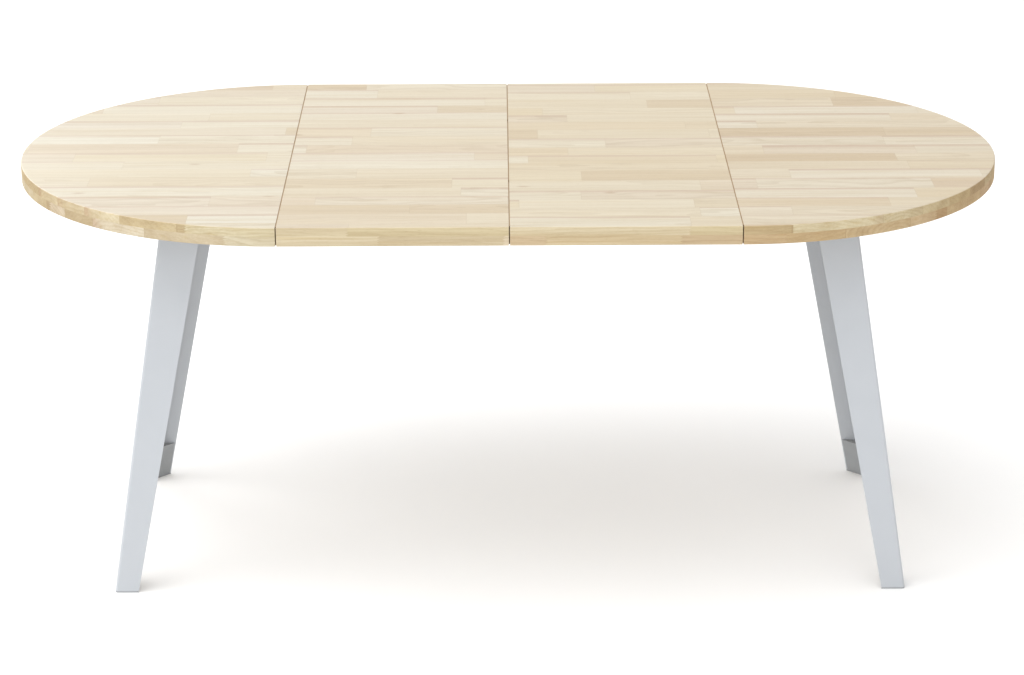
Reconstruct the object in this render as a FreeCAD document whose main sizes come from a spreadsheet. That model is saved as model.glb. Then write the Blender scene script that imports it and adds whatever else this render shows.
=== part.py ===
import FreeCAD, Part
import math
import os
from types import SimpleNamespace

import Sketcher

# Butterfly leaf table, drawn out: two half-round tops on splayed sheet-steel legs, with a leaf of two
# hinged wings between them. Millimetres. The origin is on the floor under the middle of the table, +X runs
# along the extension to the right, +Y away from the viewer and +Z up. The two ends are alike: every left
# piece is the right one turned half a turn about Z, and each piece is drawn once, on the right.

# Driving dimensions
SIZES = {
    # tops and wings
    "table_height": 760,
    "top_diameter": 1000,
    "wing_width": 400,
    "seam_gap": 2,
    "board_thick": 16,
    "band_thick": 18,
    "band_width": 55,
    "edge_round": 2,
    # legs: the setback is measured in from the top's edge, the reaches outwards from the seam
    "leg_setback": 198,
    "foot_reach": 328.8,
    "head_reach": 213.3,
    "foot_width": 43.3,
    "head_width": 74.8,
    "sheet_thick": 3,
    "bend_radius": 5,
    "leg_plate_thick": 4,
    "leg_plate_margin": 16,
    "leg_plate_round": 8,
    "glide_height": 3,
    "foot_block_height": 68,
    "foot_block_play": 0.3,
    "foot_block_inset": 2,
    # slides: a pinion between two racks makes both half tops travel alike
    "slide_leg_gap": 6.2,
    "gear_module": 2.5,
    "gear_teeth": 16,
    "gear_addendum": 2.2,
    "gear_dedendum": 2.8,
    "gear_backlash": 0.3,
    "gear_pressure_angle": 20,
    "pinion_height": 16,
    "pinion_hub_radius": 9,
    "axle_radius": 5,
    "axle_stub_radius": 4,
    "axle_head_radius": 8.5,
    "axle_head_height": 3.5,
    "running_play": 0.2,
    "rack_back": 7,
    "rack_height": 20,
    "rack_tail_teeth": 5,
    "rack_head_teeth": 2,
    "rack_end_land": 2,
    "runner_width": 28,
    "runner_height": 40,
    "runner_hold": 190,
    "runner_groove_depth": 7,
    "sweep_play": 4,
    "packer_inset": 12,
    "slide_play": 0.4,
    # centre frame
    "channel_thick": 3,
    "channel_length": 560,
    "channel_wall": 23,
    "channel_lip": 6,
    "tube_inset": 80,
    "tube_width": 40,
    "tube_height": 25,
    "tube_wall": 2,
    # wing hinges
    "pin_offset": 25,
    "pin_depth": 6,
    "pin_radius": 2,
    "pin_fit": 0.05,
    "ear_radius": 4,
    "ear_thick": 3,
    "ear_play": 0.3,
    "bracket_thick": 6,
    "bracket_width": 120,
    "bracket_rise": 2,
    "mortise_play": 0.4,
    "hinge_plate_start": 7,
    "hinge_plate_length": 58,
    "hinge_plate_thick": 3,
    "hinge_plate_width": 34,
    "ear_length": 19,
    "pad_length": 50,
    "pad_inset": 20,
    # seam supports and latches
    "tongue_width": 24,
    "tongue_thick": 4,
    "tongue_reach": 40,
    "tongue_hold": 60,
    "tongue_inset": 140,
    "latch_inset": 220,
    "latch_set": 45,
    "latch_arm": 70,
    "latch_thick": 3,
    "latch_width": 20,
    "latch_tip": 12,
    "latch_drop": 5,
    "latch_shank_radius": 4,
    "latch_head_radius": 8,
    "latch_head_height": 3,
    "latch_notch_play": 1.5,
    "stud_radius": 3.5,
    "stud_length": 10,
    "stud_flange_radius": 8,
    "stud_flange_thick": 2,
    # fasteners
    "screw_radius": 2.25,
    "screw_grip": 12,
    "screw_head_radius": 5,
    "screw_head_height": 3,
    "screw_play": 0.25,
    "screw_first": 40,
    "screw_second": 150,
    "bolt_radius": 3,
    "bolt_head_radius": 5.5,
    "bolt_head_height": 4,
    "bolt_play": 0.1,
    "rivet_head_height": 2.5,
    "rivet_spread": 40,
    # how far a cutting tool reaches past the face that it cuts
    "cut_margin": 1,
}

FRONT = -1
BACK = 1
SIDES = (("front", FRONT), ("back", BACK))
ENDS = (("right", 0), ("left", 180))


class Length:
    """A length as the sheet's formula for it, with the number that it gives now."""

    def __init__(self, text, value):
        self.text = text
        self.value = value

    def __add__(self, other):
        other = length(other)
        return Length(f"({self.text} + {other.text})", self.value + other.value)

    def __sub__(self, other):
        other = length(other)
        return Length(f"({self.text} - {other.text})", self.value - other.value)

    def __mul__(self, other):
        other = length(other)
        return Length(f"({self.text} * {other.text})", self.value * other.value)

    def __truediv__(self, other):
        other = length(other)
        return Length(f"({self.text} / {other.text})", self.value / other.value)

    def __neg__(self):
        return Length(f"(-1 * {self.text})", -self.value)


def length(value):
    return value if isinstance(value, Length) else Length(f"({value})", value)


def square_root(value):
    return Length(f"sqrt({value.text})", math.sqrt(value.value))


doc = FreeCAD.newDocument("butterfly_leaf_table")
sheet = doc.addObject("Spreadsheet::Sheet", "dims")
for row, (alias, number) in enumerate(SIZES.items(), 1):
    sheet.set(f"A{row}", alias)
    sheet.set(f"B{row}", str(number))
    sheet.setAlias(f"B{row}", alias)
doc.recompute()
d = SimpleNamespace(**{alias: Length(f"dims.{alias}", number) for alias, number in SIZES.items()})

# Levels and reaches that several pieces share
top_radius = d.top_diameter / 2
half_gap = d.seam_gap / 2
under_board = d.table_height - d.board_thick
under_band = under_board - d.band_thick
fold_depth = d.board_thick - d.pin_depth
fold_reach = d.pin_offset - half_gap
# The inner edge of a folding wing sweeps below the board by this much, and the runners stay clear of it
fold_sweep = square_root(fold_reach * fold_reach + fold_depth * fold_depth) - fold_depth
runner_top = under_board - fold_sweep - d.sweep_play
runner_low = runner_top - d.runner_height
channel_low = runner_low - d.channel_thick
tube_low = channel_low - d.tube_height
pitch_radius = d.gear_module * d.gear_teeth / 2
tip_reach = pitch_radius - d.gear_addendum
rack_reach = pitch_radius + d.rack_back
runner_reach = rack_reach + d.runner_width
channel_reach = runner_reach + d.slide_play
carrier_reach = channel_reach + d.channel_thick
gear_middle = (runner_low + runner_top) / 2
pin_height = d.table_height - d.pin_depth
leg_front = top_radius - d.leg_setback
latch_spread = top_radius - d.latch_inset
# The slides stand as far out as the top plates of the legs let the runners pass
slide_axis = leg_front - d.head_width - d.leg_plate_margin - d.slide_leg_gap - runner_reach
bracket_face = slide_axis + carrier_reach
bracket_middle = bracket_face + d.bracket_thick / 2
leg_head = under_board - d.leg_plate_thick
# The cross tubes and their bolts keep their distance from the ends of the carriers
tube_spread = d.channel_length / 2 - d.tube_inset
rivet_height = (runner_low + channel_low + d.channel_wall - d.channel_thick) / 2
PITCH = math.pi * SIZES["gear_module"]
pitch = d.gear_module * math.pi
runner_tail = pitch * (d.rack_tail_teeth + 0.5) + d.rack_end_land * 2
runner_end = d.wing_width + d.runner_hold
nodes = []


# Helpers: formulas, placements and plain solids
def bind(thing, prop, value):
    thing.setExpression(prop, length(value).text)


def across(low, high, side):
    """A stretch of Y on the back side, or its mirror image on the front side."""
    return (low, high) if side == BACK else (-high, -low)


def place(thing, x, y, z, turn=0, rotation=None):
    half_turn = FreeCAD.Rotation(FreeCAD.Vector(0, 0, 1), turn)
    thing.Placement = FreeCAD.Placement(FreeCAD.Vector(), half_turn * (rotation or FreeCAD.Rotation()))
    sign = -1 if turn else 1
    bind(thing, "Placement.Base.x", length(x) * sign)
    bind(thing, "Placement.Base.y", length(y) * sign)
    bind(thing, "Placement.Base.z", z)


def block(name, x, y, z, turn=0):
    """A plain block between three pairs of limits."""
    solid = doc.addObject("Part::Box", name)
    for prop, (low, high) in zip(("Length", "Width", "Height"), (x, y, z)):
        bind(solid, prop, length(high) - low)
    place(solid, x[0], y[0], z[0], turn)
    return solid


def rod(name, radius, x, y, z):
    """An upright cylinder between two heights."""
    solid = doc.addObject("Part::Cylinder", name)
    bind(solid, "Radius", radius)
    bind(solid, "Height", length(z[1]) - z[0])
    place(solid, x, y, z[0])
    return solid


def cross_rod(name, radius, x, y, z):
    """A cylinder lying along Y between two limits."""
    solid = doc.addObject("Part::Cylinder", name)
    bind(solid, "Radius", radius)
    bind(solid, "Height", length(y[1]) - y[0])
    place(solid, x, y[0], z, rotation=FreeCAD.Rotation(FreeCAD.Vector(1, 0, 0), -90))
    return solid


def turned(thing, turn):
    thing.Placement = FreeCAD.Placement(FreeCAD.Vector(), FreeCAD.Rotation(FreeCAD.Vector(0, 0, 1), turn))
    return thing


def join(name, pieces, turn=0):
    whole = doc.addObject("Part::MultiFuse", name)
    whole.Shapes = pieces
    return turned(whole, turn)


def group(name, pieces, turn=0):
    """Separate solids of one kind, kept together as one node."""
    whole = doc.addObject("Part::Compound", name)
    whole.Links = pieces
    return turned(whole, turn)


def cut(name, base, tools, turn=0):
    rest = doc.addObject("Part::Cut", name)
    rest.Base = base
    rest.Tool = tools[0] if len(tools) == 1 else join(name + "_cuts", tools)
    return turned(rest, turn)


def node(piece, label):
    piece.Label = label
    nodes.append(piece)
    return piece


# Helpers: bodies made of sketches and features
def new_body(name, turn=0):
    return turned(doc.addObject("PartDesign::Body", name), turn)


def new_sketch(body, name, plane, offset):
    sketch = body.newObject("Sketcher::SketchObject", name)
    support = next(f for f in body.Origin.OriginFeatures if f.Role == plane)
    sketch.AttachmentSupport = [(support, "")]
    sketch.MapMode = "FlatFace"
    bind(sketch, "AttachmentOffset.Base.z", offset)
    return sketch


def hold_point(sketch, edge, end, point):
    """Fixes an end of a sketch's edge at a point given by two formulas."""
    for kind, value in zip(("DistanceX", "DistanceY"), point):
        value = length(value)
        number = sketch.addConstraint(Sketcher.Constraint(kind, -1, 1, edge, end, value.value))
        sketch.setExpression(f"Constraints[{number}]", value.text)


def outline(body, name, points, plane="XY_Plane", offset=0):
    """A closed outline through points given by formulas. A point with a centre and a radius after its
    place starts an arc, and any other a straight edge."""
    sketch = new_sketch(body, name, plane, offset)
    corners = [flat_point(point) for point in points]
    count = len(corners)
    ends = []
    for n in range(count):
        start, stop = corners[n], corners[(n + 1) % count]
        if len(points[n]) == 2:
            sketch.addGeometry(Part.LineSegment(start, stop))
            ends.append((1, 2))
            continue
        hub = flat_point(points[n][2])
        radius = points[n][3]
        middle = hub + ((start + stop) * 0.5 - hub).normalize() * radius.value
        sketch.addGeometry(Part.Arc(start, middle, stop))
        number = sketch.addConstraint(Sketcher.Constraint("Radius", n, radius.value))
        sketch.setExpression(f"Constraints[{number}]", radius.text)
        forwards = (start - hub).cross(stop - hub).z > 0
        ends.append((1, 2) if forwards else (2, 1))
    for n in range(count):
        following = (n + 1) % count
        sketch.addConstraint(Sketcher.Constraint("Coincident", n, ends[n][1], following, ends[following][0]))
        hold_point(sketch, n, ends[n][0], points[n])
    return sketch


def flat_point(point):
    return FreeCAD.Vector(length(point[0]).value, length(point[1]).value, 0)


def rectangle(x, y):
    return [(x[0], y[0]), (x[1], y[0]), (x[1], y[1]), (x[0], y[1])]


def circles(body, name, centres, radius, offset):
    """A sketch of equal circles, for holes seen from above."""
    sketch = new_sketch(body, name, "XY_Plane", offset)
    for n, (x, y) in enumerate(centres):
        middle = FreeCAD.Vector(length(x).value, length(y).value, 0)
        sketch.addGeometry(Part.Circle(middle, FreeCAD.Vector(0, 0, 1), length(radius).value))
        hold_point(sketch, n, 3, (x, y))
        number = sketch.addConstraint(Sketcher.Constraint("Radius", n, length(radius).value))
        sketch.setExpression(f"Constraints[{number}]", length(radius).text)
    return sketch


def pad(body, sketch, height):
    feature = body.newObject("PartDesign::Pad", sketch.Name + "_pad")
    feature.Profile = sketch
    bind(feature, "Length", height)
    doc.recompute()
    return feature


def pocket(body, sketch, depth, upwards=False):
    """Cuts a sketch's outline downwards, or upwards from an underside, and makes sure that it cuts."""
    before = body.Shape.Volume
    feature = body.newObject("PartDesign::Pocket", sketch.Name + "_pocket")
    feature.Profile = sketch
    feature.Reversed = upwards
    bind(feature, "Length", depth)
    doc.recompute()
    if body.Shape.Volume > before - 1e-3:
        raise RuntimeError(f"{feature.Name} cuts nothing")
    return feature


def edge_names(feature, test):
    return [f"Edge{n}" for n, edge in enumerate(feature.Shape.Edges, 1) if test(edge.BoundBox)]


def fillet(body, feature, name, radius, test):
    """Rounds the edges of a feature whose boxes pass a test."""
    rounding = body.newObject("PartDesign::Fillet", name)
    rounding.Base = (feature, edge_names(feature, test))
    bind(rounding, "Radius", radius)
    doc.recompute()
    return rounding


def near(first, second):
    return abs(first - length(second).value) < 0.01


def level_at(box, z):
    return near(box.ZMin, z) and near(box.ZMax, z)


# Half tops
def half_round(body, name, radii, offset):
    """A half disc with one radius, or a half ring with two, that ends at the seam."""
    sketch = new_sketch(body, name, "XY_Plane", offset)
    seam = (d.wing_width + half_gap).value
    hub = FreeCAD.Vector(d.wing_width.value, 0, 0)
    ends = []
    for n, radius in enumerate(radii):
        rise = math.acos(half_gap.value / radius.value)
        arc = Part.ArcOfCircle(Part.Circle(hub, FreeCAD.Vector(0, 0, 1), radius.value), -rise, rise)
        sketch.addGeometry(arc)
        hold_point(sketch, n, 3, (d.wing_width, 0))
        number = sketch.addConstraint(Sketcher.Constraint("Radius", n, radius.value))
        sketch.setExpression(f"Constraints[{number}]", radius.text)
        for end in (1, 2):
            number = sketch.addConstraint(Sketcher.Constraint("DistanceX", -1, 1, n, end, seam))
            sketch.setExpression(f"Constraints[{number}]", (d.wing_width + half_gap).text)
        ends.append((arc.StartPoint, arc.EndPoint))
    if len(radii) == 1:
        joints = [((0, 2), (0, 1), ends[0][1], ends[0][0])]
    else:
        joints = [((0, end), (1, end), ends[0][end - 1], ends[1][end - 1]) for end in (1, 2)]
    for first, second, start, stop in joints:
        line = sketch.addGeometry(Part.LineSegment(start, stop))
        sketch.addConstraint(Sketcher.Constraint("Coincident", line, 1, *first))
        sketch.addConstraint(Sketcher.Constraint("Coincident", line, 2, *second))
    return sketch


def leg_screw_centres(side):
    """The four corners of a leg's top plate, inset by half its margin."""
    inner, outer, width = leg_line(leg_head)
    inset = d.leg_plate_margin / 2
    far, close = across(leg_front - width - inset, leg_front + inset, side)
    return [(x, y) for x in (inner - inset, outer + inset) for y in (far, close)]


def runner_limits(side):
    """A right runner's stretch of Y: both lie on the +Y flank of their pinion."""
    axis = slide_axis * side
    return (axis + rack_reach, axis + runner_reach)


def runner_screw_centres(side):
    low, high = runner_limits(side)
    middle = (low + high) / 2
    return [(d.wing_width + along, middle) for along in (d.screw_first, d.screw_second)]


def latch_pivot_centres():
    return [(d.wing_width + d.latch_set, latch_spread * side) for name, side in SIDES]


def top_board(end, turn):
    name = f"{end}_top_board"
    body = new_body(name, turn)
    board = pad(body, half_round(body, name + "_plan", [top_radius], under_board), d.board_thick)
    holes = latch_pivot_centres()
    for label, side in SIDES:
        holes += leg_screw_centres(side) + runner_screw_centres(side)
    plan = circles(body, name + "_pilot_holes", holes, d.screw_radius + d.pin_fit, under_board)
    holed = pocket(body, plan, d.screw_grip, upwards=True)

    def upper_rim(box):
        return level_at(box, d.table_height) and box.XLength > half_gap.value * 4

    fillet(body, holed, name + "_arris", d.edge_round, upper_rim)
    node(body, name)


def rim_band(end, turn):
    name = f"{end}_rim_band"
    body = new_body(name, turn)
    radii = [top_radius, top_radius - d.band_width]
    ring = pad(body, half_round(body, name + "_plan", radii, under_band), d.band_thick)

    def lower_rim(box):
        return level_at(box, under_band) and near(box.XMax, d.wing_width + top_radius)

    fillet(body, ring, name + "_arris", d.edge_round, lower_rim)
    node(body, name)


# Legs
def leg_line(z):
    """A leg's inner edge, outer face and flange width at a height."""
    share = length(z) / leg_head
    outer = d.wing_width + d.foot_reach + (d.head_reach - d.foot_reach) * share
    width = d.foot_width + (d.head_width - d.foot_width) * share
    return outer - width, outer, width


def leg_section(z, side):
    """The folded sheet's L: flanges along X and along Y from a bend at the outer corner."""
    inner, outer, width = leg_line(z)
    face = leg_front
    back = face - d.sheet_thick
    tip = face - width
    wall = outer - d.sheet_thick
    bend = d.bend_radius
    hub = (outer - bend, (face - bend) * side)
    inside = bend - d.sheet_thick
    return [
        (inner, face * side),
        (outer - bend, face * side, hub, bend),
        (outer, (face - bend) * side),
        (outer, tip * side),
        (wall, tip * side),
        (wall, (back - inside) * side, hub, inside),
        (wall - inside, back * side),
        (inner, back * side),
    ]


def slanted(box, low, high):
    return near(box.ZMin, low) and near(box.ZMax, high)


def leg(end, turn, label, side):
    name = f"{end}_{label}_leg"
    body = new_body(name, turn)
    foot = outline(body, name + "_foot", leg_section(d.glide_height, side), offset=d.glide_height)
    head = outline(body, name + "_head", leg_section(leg_head, side), offset=leg_head)
    sheet_metal = body.newObject("PartDesign::AdditiveLoft", name + "_sheet")
    sheet_metal.Profile = foot
    sheet_metal.Sections = [head]
    sheet_metal.Ruled = True
    doc.recompute()
    inner, outer, width = leg_line(leg_head)
    margin = d.leg_plate_margin
    far, close = across(leg_front - width - margin, leg_front + margin, side)
    plan = rectangle((inner - margin, outer + margin), (far, close))
    plate = pad(body, outline(body, name + "_plate", plan, offset=leg_head), d.leg_plate_thick)
    upright = lambda box: slanted(box, leg_head, under_board)
    fillet(body, plate, name + "_plate_corners", d.leg_plate_round, upright)
    radius = d.screw_radius + d.screw_play
    plan = circles(body, name + "_holes", leg_screw_centres(side), radius, under_board)
    pocket(body, plan, d.leg_plate_thick)
    node(body, name)


def foot_block(end, turn, label, side):
    """A moulded block in the corner of the L: the glide under the sheet's edge, with a wedge above it."""
    name = f"{end}_{label}_foot_block"
    body = new_body(name, turn)
    inner, outer, width = leg_line(d.glide_height)
    tip = leg_front - width
    plan = [(inner, leg_front * side), (outer, leg_front * side), (outer, tip * side)]
    glide = pad(body, outline(body, name + "_glide", plan), d.glide_height)

    def outer_corner(box):
        return slanted(box, 0, d.glide_height) and near(box.XMax, outer) and near(box.YMin, leg_front * side)

    fillet(body, glide, name + "_glide_corner", d.bend_radius, outer_corner)
    sections = []
    for level, height in (("low", d.glide_height), ("high", d.foot_block_height)):
        inner, outer, width = leg_line(height)
        wall = outer - d.sheet_thick - d.foot_block_play
        face = leg_front - d.sheet_thick - d.foot_block_play
        corner = d.bend_radius - d.sheet_thick
        start = inner + d.foot_block_inset
        tip = leg_front - width + d.foot_block_inset
        plan = [(start, face), (wall - corner, face), (wall, face - corner), (wall, tip)]
        plan = [(x, y * side) for x, y in plan]
        sections.append(outline(body, f"{name}_{level}", plan, offset=height))
    wedge = body.newObject("PartDesign::AdditiveLoft", name + "_wedge")
    wedge.Profile = sections[0]
    wedge.Sections = [sections[1]]
    wedge.Ruled = True
    doc.recompute()
    node(body, name)


def screw(name, x, y, seat, tip):
    """A screw driven upwards: its head hangs below the seat, its shank ends at the tip."""
    head = rod(name + "_head", d.screw_head_radius, x, y, (length(seat) - d.screw_head_height, seat))
    shank = rod(name + "_shank", d.screw_radius, x, y, (seat, tip))
    return join(name, [head, shank])


def leg_screws(end, turn):
    name = f"{end}_leg_screws"
    screws = []
    for label, side in SIDES:
        for n, (x, y) in enumerate(leg_screw_centres(side)):
            screws.append(screw(f"{name}_{label}_{n}", x, y, leg_head, under_board + d.screw_grip))
    node(group(name, screws, turn), name)


# Slides
def runner(end, turn, label, side):
    """A wooden runner with a groove along its outer flank and two counterbored screw holes."""
    name = f"{end}_{label}_runner"
    y = runner_limits(side)
    x = (-runner_tail, runner_end)
    bar = block(name + "_bar", x, y, (runner_low, runner_top))
    groove_low = channel_low + d.channel_wall - d.channel_thick - d.slide_play
    groove_high = channel_low + d.channel_wall + d.slide_play
    flank = (y[1] - d.runner_groove_depth, y[1] + d.cut_margin)
    cuts = [block(name + "_groove", x, flank, (groove_low, groove_high))]
    seat = runner_low + d.screw_head_height * 2
    for n, (screw_x, screw_y) in enumerate(runner_screw_centres(side)):
        wide = d.screw_head_radius + d.screw_play
        thin = d.screw_radius + d.screw_play
        bore = (runner_low - d.cut_margin, seat)
        hole = (seat - d.cut_margin, runner_top + d.cut_margin)
        cuts.append(rod(f"{name}_bore_{n}", wide, screw_x, screw_y, bore))
        cuts.append(rod(f"{name}_hole_{n}", thin, screw_x, screw_y, hole))
    node(cut(name, bar, cuts, turn), name)


def packers(end, turn):
    """The blocks between the runners and their half top, with the holes of the runners' screws."""
    name = f"{end}_packers"
    x = (d.wing_width + d.packer_inset, runner_end)
    radius = d.screw_radius + d.screw_play
    blocks = []
    for label, side in SIDES:
        slab = block(f"{name}_{label}_slab", x, runner_limits(side), (runner_top, under_board))
        holes = []
        for n, (screw_x, screw_y) in enumerate(runner_screw_centres(side)):
            hole = (runner_top - d.cut_margin, under_board + d.cut_margin)
            holes.append(rod(f"{name}_{label}_hole_{n}", radius, screw_x, screw_y, hole))
        blocks.append(cut(f"{name}_{label}", slab, holes))
    node(group(name, blocks, turn), name)


def runner_screws(end, turn):
    name = f"{end}_runner_screws"
    seat = runner_low + d.screw_head_height * 2
    screws = []
    for label, side in SIDES:
        for n, (x, y) in enumerate(runner_screw_centres(side)):
            screws.append(screw(f"{name}_{label}_{n}", x, y, seat, under_board + d.screw_grip))
    node(group(name, screws, turn), name)


def rack(end, turn, label, side):
    """A toothed strip along the runner: a gap is cut at every pitch of the pinion."""
    name = f"{end}_{label}_rack"
    body = new_body(name, turn)
    axis = slide_axis * side
    gaps = int(SIZES["rack_tail_teeth"] + SIZES["rack_head_teeth"]) + math.ceil(SIZES["wing_width"] / PITCH)
    first = pitch * d.rack_tail_teeth * -1
    low = gear_middle - d.rack_height / 2
    high = gear_middle + d.rack_height / 2
    start = first - pitch / 2 - d.rack_end_land
    stop = first + pitch * (gaps - 0.5) + d.rack_end_land
    strip = rectangle((start, stop), (axis + tip_reach, axis + rack_reach))
    pad(body, outline(body, name + "_strip", strip, offset=low), d.rack_height)
    slope = math.tan(math.radians(SIZES["gear_pressure_angle"]))
    half = pitch / 4 + d.gear_backlash / 4
    mouth = d.gear_addendum + d.cut_margin
    root = half - d.gear_dedendum * slope
    lips = half + mouth * slope
    mouth_y = axis + pitch_radius - mouth
    root_y = axis + pitch_radius + d.gear_dedendum
    plan = [(first - lips, mouth_y), (first + lips, mouth_y), (first + root, root_y), (first - root, root_y)]
    gap = pocket(body, outline(body, name + "_gap", plan, offset=high), d.rack_height)
    teeth = body.newObject("PartDesign::LinearPattern", name + "_teeth")
    teeth.Originals = [gap]
    along = next(f for f in body.Origin.OriginFeatures if f.Role == "X_Axis")
    teeth.Direction = (along, [""])
    teeth.Occurrences = gaps
    bind(teeth, "Length", pitch * (gaps - 1))
    body.Tip = teeth
    doc.recompute()
    node(body, name)


def involute(angle):
    return math.tan(angle) - angle


def pinion_outline(radius, base, tip, root):
    """One closed wire round the pinion's teeth, with a tooth pointing along +Y."""
    teeth = int(SIZES["gear_teeth"])
    pressure = math.radians(SIZES["gear_pressure_angle"])
    thick = PITCH / 2 - SIZES["gear_backlash"] / 2

    def half_angle(at):
        reach = involute(math.acos(base / at)) if at > base else 0
        return thick / (2 * radius) + involute(pressure) - reach

    def spot(at, angle):
        return FreeCAD.Vector(at * math.cos(angle), at * math.sin(angle), 0)

    edges = []
    step = 2 * math.pi / teeth
    middle = (base + tip) / 2
    for n in range(teeth):
        centre = math.pi / 2 + n * step
        foot = half_angle(base)
        low, rise, high = centre - foot, centre - half_angle(middle), centre - half_angle(tip)
        next_low = centre + step - foot
        edges.append(Part.makeLine(spot(root, low), spot(base, low)))
        edges.append(Part.Arc(spot(base, low), spot(middle, rise), spot(tip, high)).toShape())
        far = 2 * centre
        edges.append(Part.Arc(spot(tip, high), spot(tip, centre), spot(tip, far - high)).toShape())
        back = (spot(tip, far - high), spot(middle, far - rise), spot(base, far - low))
        edges.append(Part.Arc(*back).toShape())
        edges.append(Part.makeLine(spot(base, far - low), spot(root, far - low)))
        valley = (spot(root, far - low), spot(root, centre + step / 2), spot(root, next_low))
        edges.append(Part.Arc(*valley).toShape())
    return Part.Wire(edges)


def pinion(label, side):
    """The gear between two racks, with a hub that stands on the carrier."""
    name = f"{label}_pinion"
    radius = pitch_radius.value
    base = radius * math.cos(math.radians(SIZES["gear_pressure_angle"]))
    tip = radius + SIZES["gear_addendum"]
    root = radius - SIZES["gear_dedendum"]
    up = FreeCAD.Vector(0, 0, 1)
    gear = Part.Face(pinion_outline(radius, base, tip, root)).extrude(up * SIZES["pinion_height"])
    hub_height = (gear_middle - d.pinion_height / 2 - runner_low).value - SIZES["running_play"]
    hub = Part.makeCylinder(SIZES["pinion_hub_radius"], hub_height, up * -hub_height)
    bore_radius = SIZES["axle_radius"] + SIZES["pin_fit"]
    bore = Part.makeCylinder(bore_radius, hub_height + SIZES["pinion_height"], up * -hub_height)
    solid = doc.addObject("Part::Feature", name)
    solid.Shape = gear.fuse(hub).cut(bore).removeSplitter()
    place(solid, 0, slide_axis * side, gear_middle - d.pinion_height / 2)
    node(solid, name)


def pinion_axle(label, side):
    """A shouldered pin: stub through the carrier, shank in the pinion's bore, head above it."""
    name = f"{label}_pinion_axle"
    y = slide_axis * side
    neck = gear_middle + d.pinion_height / 2 + d.running_play
    stub = rod(name + "_stub", d.axle_stub_radius, 0, y, (channel_low, runner_low))
    shank = rod(name + "_shank", d.axle_radius, 0, y, (runner_low, neck))
    head = rod(name + "_head", d.axle_head_radius, 0, y, (neck, neck + d.axle_head_height))
    node(join(name, [stub, shank, head]), name)


# Centre frame
def carrier(label, side):
    """A folded channel whose lips hold the runners down in their grooves."""
    name = f"{label}_carrier"
    body = new_body(name)
    axis = slide_axis * side
    wall_top = channel_low + d.channel_wall
    lip_low = wall_top - d.channel_thick
    half = [
        (carrier_reach, channel_low),
        (carrier_reach, wall_top),
        (channel_reach - d.channel_lip, wall_top),
        (channel_reach - d.channel_lip, lip_low),
        (channel_reach, lip_low),
        (channel_reach, runner_low),
    ]
    profile = [(axis + y, z) for y, z in half] + [(axis - y, z) for y, z in reversed(half)]
    start = d.channel_length / 2
    pad(body, outline(body, name + "_profile", profile, "YZ_Plane", -start), d.channel_length)
    plan = circles(body, name + "_axle_hole", [(0, axis)], d.axle_stub_radius + d.pin_fit, runner_low)
    pocket(body, plan, d.channel_thick)
    spots = [(tube_spread, axis), (-tube_spread, axis)]
    plan = circles(body, name + "_bolt_holes", spots, d.bolt_radius + d.bolt_play, runner_low)
    pocket(body, plan, d.channel_thick)
    rivets = []
    radius = d.bolt_radius + d.pin_fit
    wall = across(slide_axis + channel_reach - d.cut_margin, bracket_face + d.cut_margin, side)
    for n, x in enumerate((d.rivet_spread, -d.rivet_spread)):
        rivets.append(cross_rod(f"{name}_rivet_hole_{n}", radius, x, wall, rivet_height))
    body.Label = name + "_channel"
    node(cut(name + "_holed", body, rivets), name)


def cross_tube(end, turn):
    """A square tube under both carriers."""
    name = f"{end}_cross_tube"
    body = new_body(name, turn)
    reach = bracket_face
    inside = d.tube_wall
    low, high = tube_spread - d.tube_width / 2, tube_spread + d.tube_width / 2
    profile = rectangle((low, high), (tube_low, channel_low))
    pad(body, outline(body, name + "_profile", profile, "XZ_Plane", -reach), reach * 2)
    hollow = rectangle((low + inside, high - inside), (tube_low + inside, channel_low - inside))
    pocket(body, outline(body, name + "_hollow", hollow, "XZ_Plane", reach), reach * 2)
    spots = [(tube_spread, slide_axis * side) for label, side in SIDES]
    plan = circles(body, name + "_bolt_holes", spots, d.bolt_radius + d.bolt_play, channel_low)
    pocket(body, plan, d.tube_height)
    node(body, name)


def carrier_bolts():
    bolts = []
    for label, side in SIDES:
        for sign in (1, -1):
            name = f"carrier_bolt_{label}_{len(bolts)}"
            x, y = tube_spread * sign, slide_axis * side
            end = tube_low - d.bolt_head_height
            crown = runner_low + d.bolt_head_height
            solids = [
                rod(name + "_head", d.bolt_head_radius, x, y, (runner_low, crown)),
                rod(name + "_shank", d.bolt_radius, x, y, (end, runner_low)),
                rod(name + "_nut", d.bolt_head_radius, x, y, (end, tube_low)),
            ]
            bolts.append(join(name, solids))
    node(group("carrier_bolts", bolts), "carrier_bolts")


# Wing hinges
def spine_bracket(label, side):
    """A plate on the carrier's outer wall, with two upright ears for the wings' pins."""
    name = f"{label}_spine_bracket"
    y = across(bracket_face, bracket_face + d.bracket_thick, side)
    half = d.bracket_width / 2
    foot_top = runner_top + d.bracket_rise
    solids = [block(name + "_foot", (-half, half), y, (channel_low, foot_top))]
    holes = []
    for n, sign in enumerate((1, -1)):
        x = d.pin_offset * sign
        stem = (x - d.ear_radius, x + d.ear_radius)
        solids.append(block(f"{name}_stem_{n}", stem, y, (foot_top - d.cut_margin, pin_height)))
        solids.append(cross_rod(f"{name}_eye_{n}", d.ear_radius, x, y, pin_height))
        through = (y[0] - d.cut_margin, y[1] + d.cut_margin)
        holes.append(cross_rod(f"{name}_pin_hole_{n}", d.pin_radius + d.pin_fit, x, through, pin_height))
        rivet = d.bolt_radius + d.pin_fit
        holes.append(cross_rod(f"{name}_rivet_hole_{n}", rivet, d.rivet_spread * sign, through, rivet_height))
    node(cut(name, join(name + "_plate", solids), holes), name)


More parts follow.
